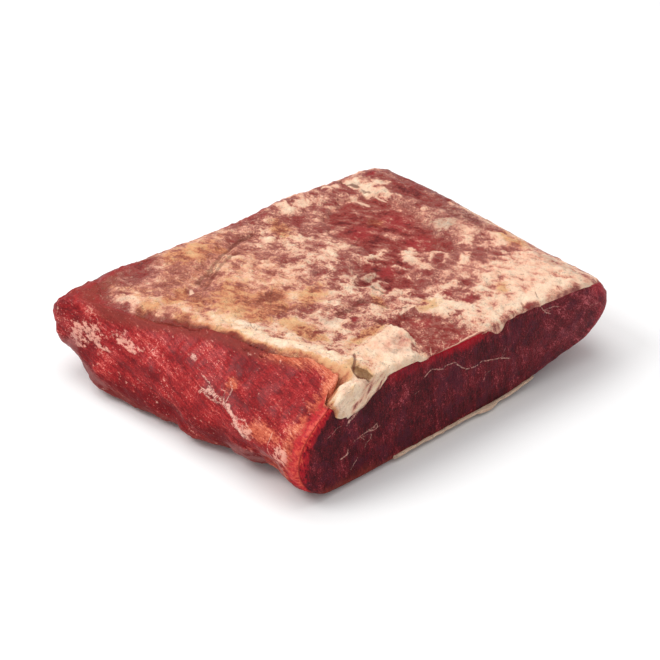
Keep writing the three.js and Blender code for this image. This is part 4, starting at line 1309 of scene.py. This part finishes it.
class BEEF_OT_stage(bpy.types.Operator):
    """Make the floor, the lights and the camera."""
    bl_idname = "object.beef_stage"
    bl_label = "Stage"

    def execute(self, context):
        middle = Vector(CAMERA["look_at"]) * MM
        self.lay_floor()
        self.fill_room()
        for name, settings in LAMPS.items():
            self.add_lamp(name, middle, **settings)
        self.set_camera(middle)
        context.scene.view_settings.view_transform = "Standard"
        return {"FINISHED"}

    def lay_floor(self):
        shape = bmesh.new()
        bmesh.ops.create_grid(shape, x_segments=1, y_segments=1, size=FLOOR["size"])
        mesh = bpy.data.meshes.new("floor")
        shape.to_mesh(mesh)
        shape.free()
        mesh.materials.append(floor_material())
        floor = bpy.data.objects.new("floor", mesh)
        bpy.context.scene.collection.objects.link(floor)

    def fill_room(self):
        world = bpy.data.worlds.new("soft room")
        world.use_nodes = True
        background = world.node_tree.nodes["Background"]
        background.inputs["Color"].default_value = (1, 1, 1, 1)
        background.inputs["Strength"].default_value = ROOM_LIGHT
        bpy.context.scene.world = world

    def add_lamp(self, name, middle, azimuth, elevation, distance, size, power):
        light = bpy.data.lights.new(name, "AREA")
        light.shape = "DISK"
        light.size = size
        light.energy = power
        direction = toward(azimuth, elevation)
        self.aim(bpy.data.objects.new(name, light), middle + direction * distance, direction)

    def set_camera(self, middle):
        camera = bpy.data.objects.new("camera", bpy.data.cameras.new("camera"))
        camera.data.lens = CAMERA["lens"]
        camera.data.sensor_width = CAMERA["sensor"]
        camera.data.clip_start = CAMERA["near"] * MM
        direction = toward(CAMERA["azimuth"], CAMERA["elevation"])
        self.aim(camera, middle + direction * CAMERA["distance"] * MM, direction)
        bpy.context.scene.camera = camera

    def aim(self, thing, place, direction):
        """Puts a lamp or the camera at a place, looking back along the direction."""
        thing.location = place
        thing.rotation_euler = (-direction).to_track_quat("-Z", "Y").to_euler()
        bpy.context.scene.collection.objects.link(thing)


class BEEF_PT_panel(bpy.types.Panel):
    """Buttons for the pieces, with the sizes and colours."""
    bl_label = "Beef flank"
    bl_space_type = "VIEW_3D"
    bl_region_type = "UI"
    bl_category = "Beef flank"

    def draw(self, context):
        for operator in OPERATORS:
            self.layout.operator(operator.bl_idname)
        settings = context.scene.beef_flank
        for group in (settings.sizes, settings.colours):
            for name in group.bl_rna.properties.keys():
                if name not in ("rna_type", "name"):
                    self.layout.prop(group, name)


OPERATORS = (BEEF_OT_lean, BEEF_OT_fat_cap, BEEF_OT_fat_lip, BEEF_OT_stage)
CLASSES = (BeefSizes, BeefColours, BeefSettings, *OPERATORS, BEEF_PT_panel)


def register():
    for cls in CLASSES:
        bpy.utils.register_class(cls)
    bpy.types.Scene.beef_flank = PointerProperty(type=BeefSettings)


def unregister():
    del bpy.types.Scene.beef_flank
    for cls in reversed(CLASSES):
        bpy.utils.unregister_class(cls)


def main():
    register()
    bpy.ops.object.beef_lean()
    bpy.ops.object.beef_fat_cap()
    bpy.ops.object.beef_fat_lip()
    bpy.ops.object.beef_stage()


if __name__ == "__main__":
    main()
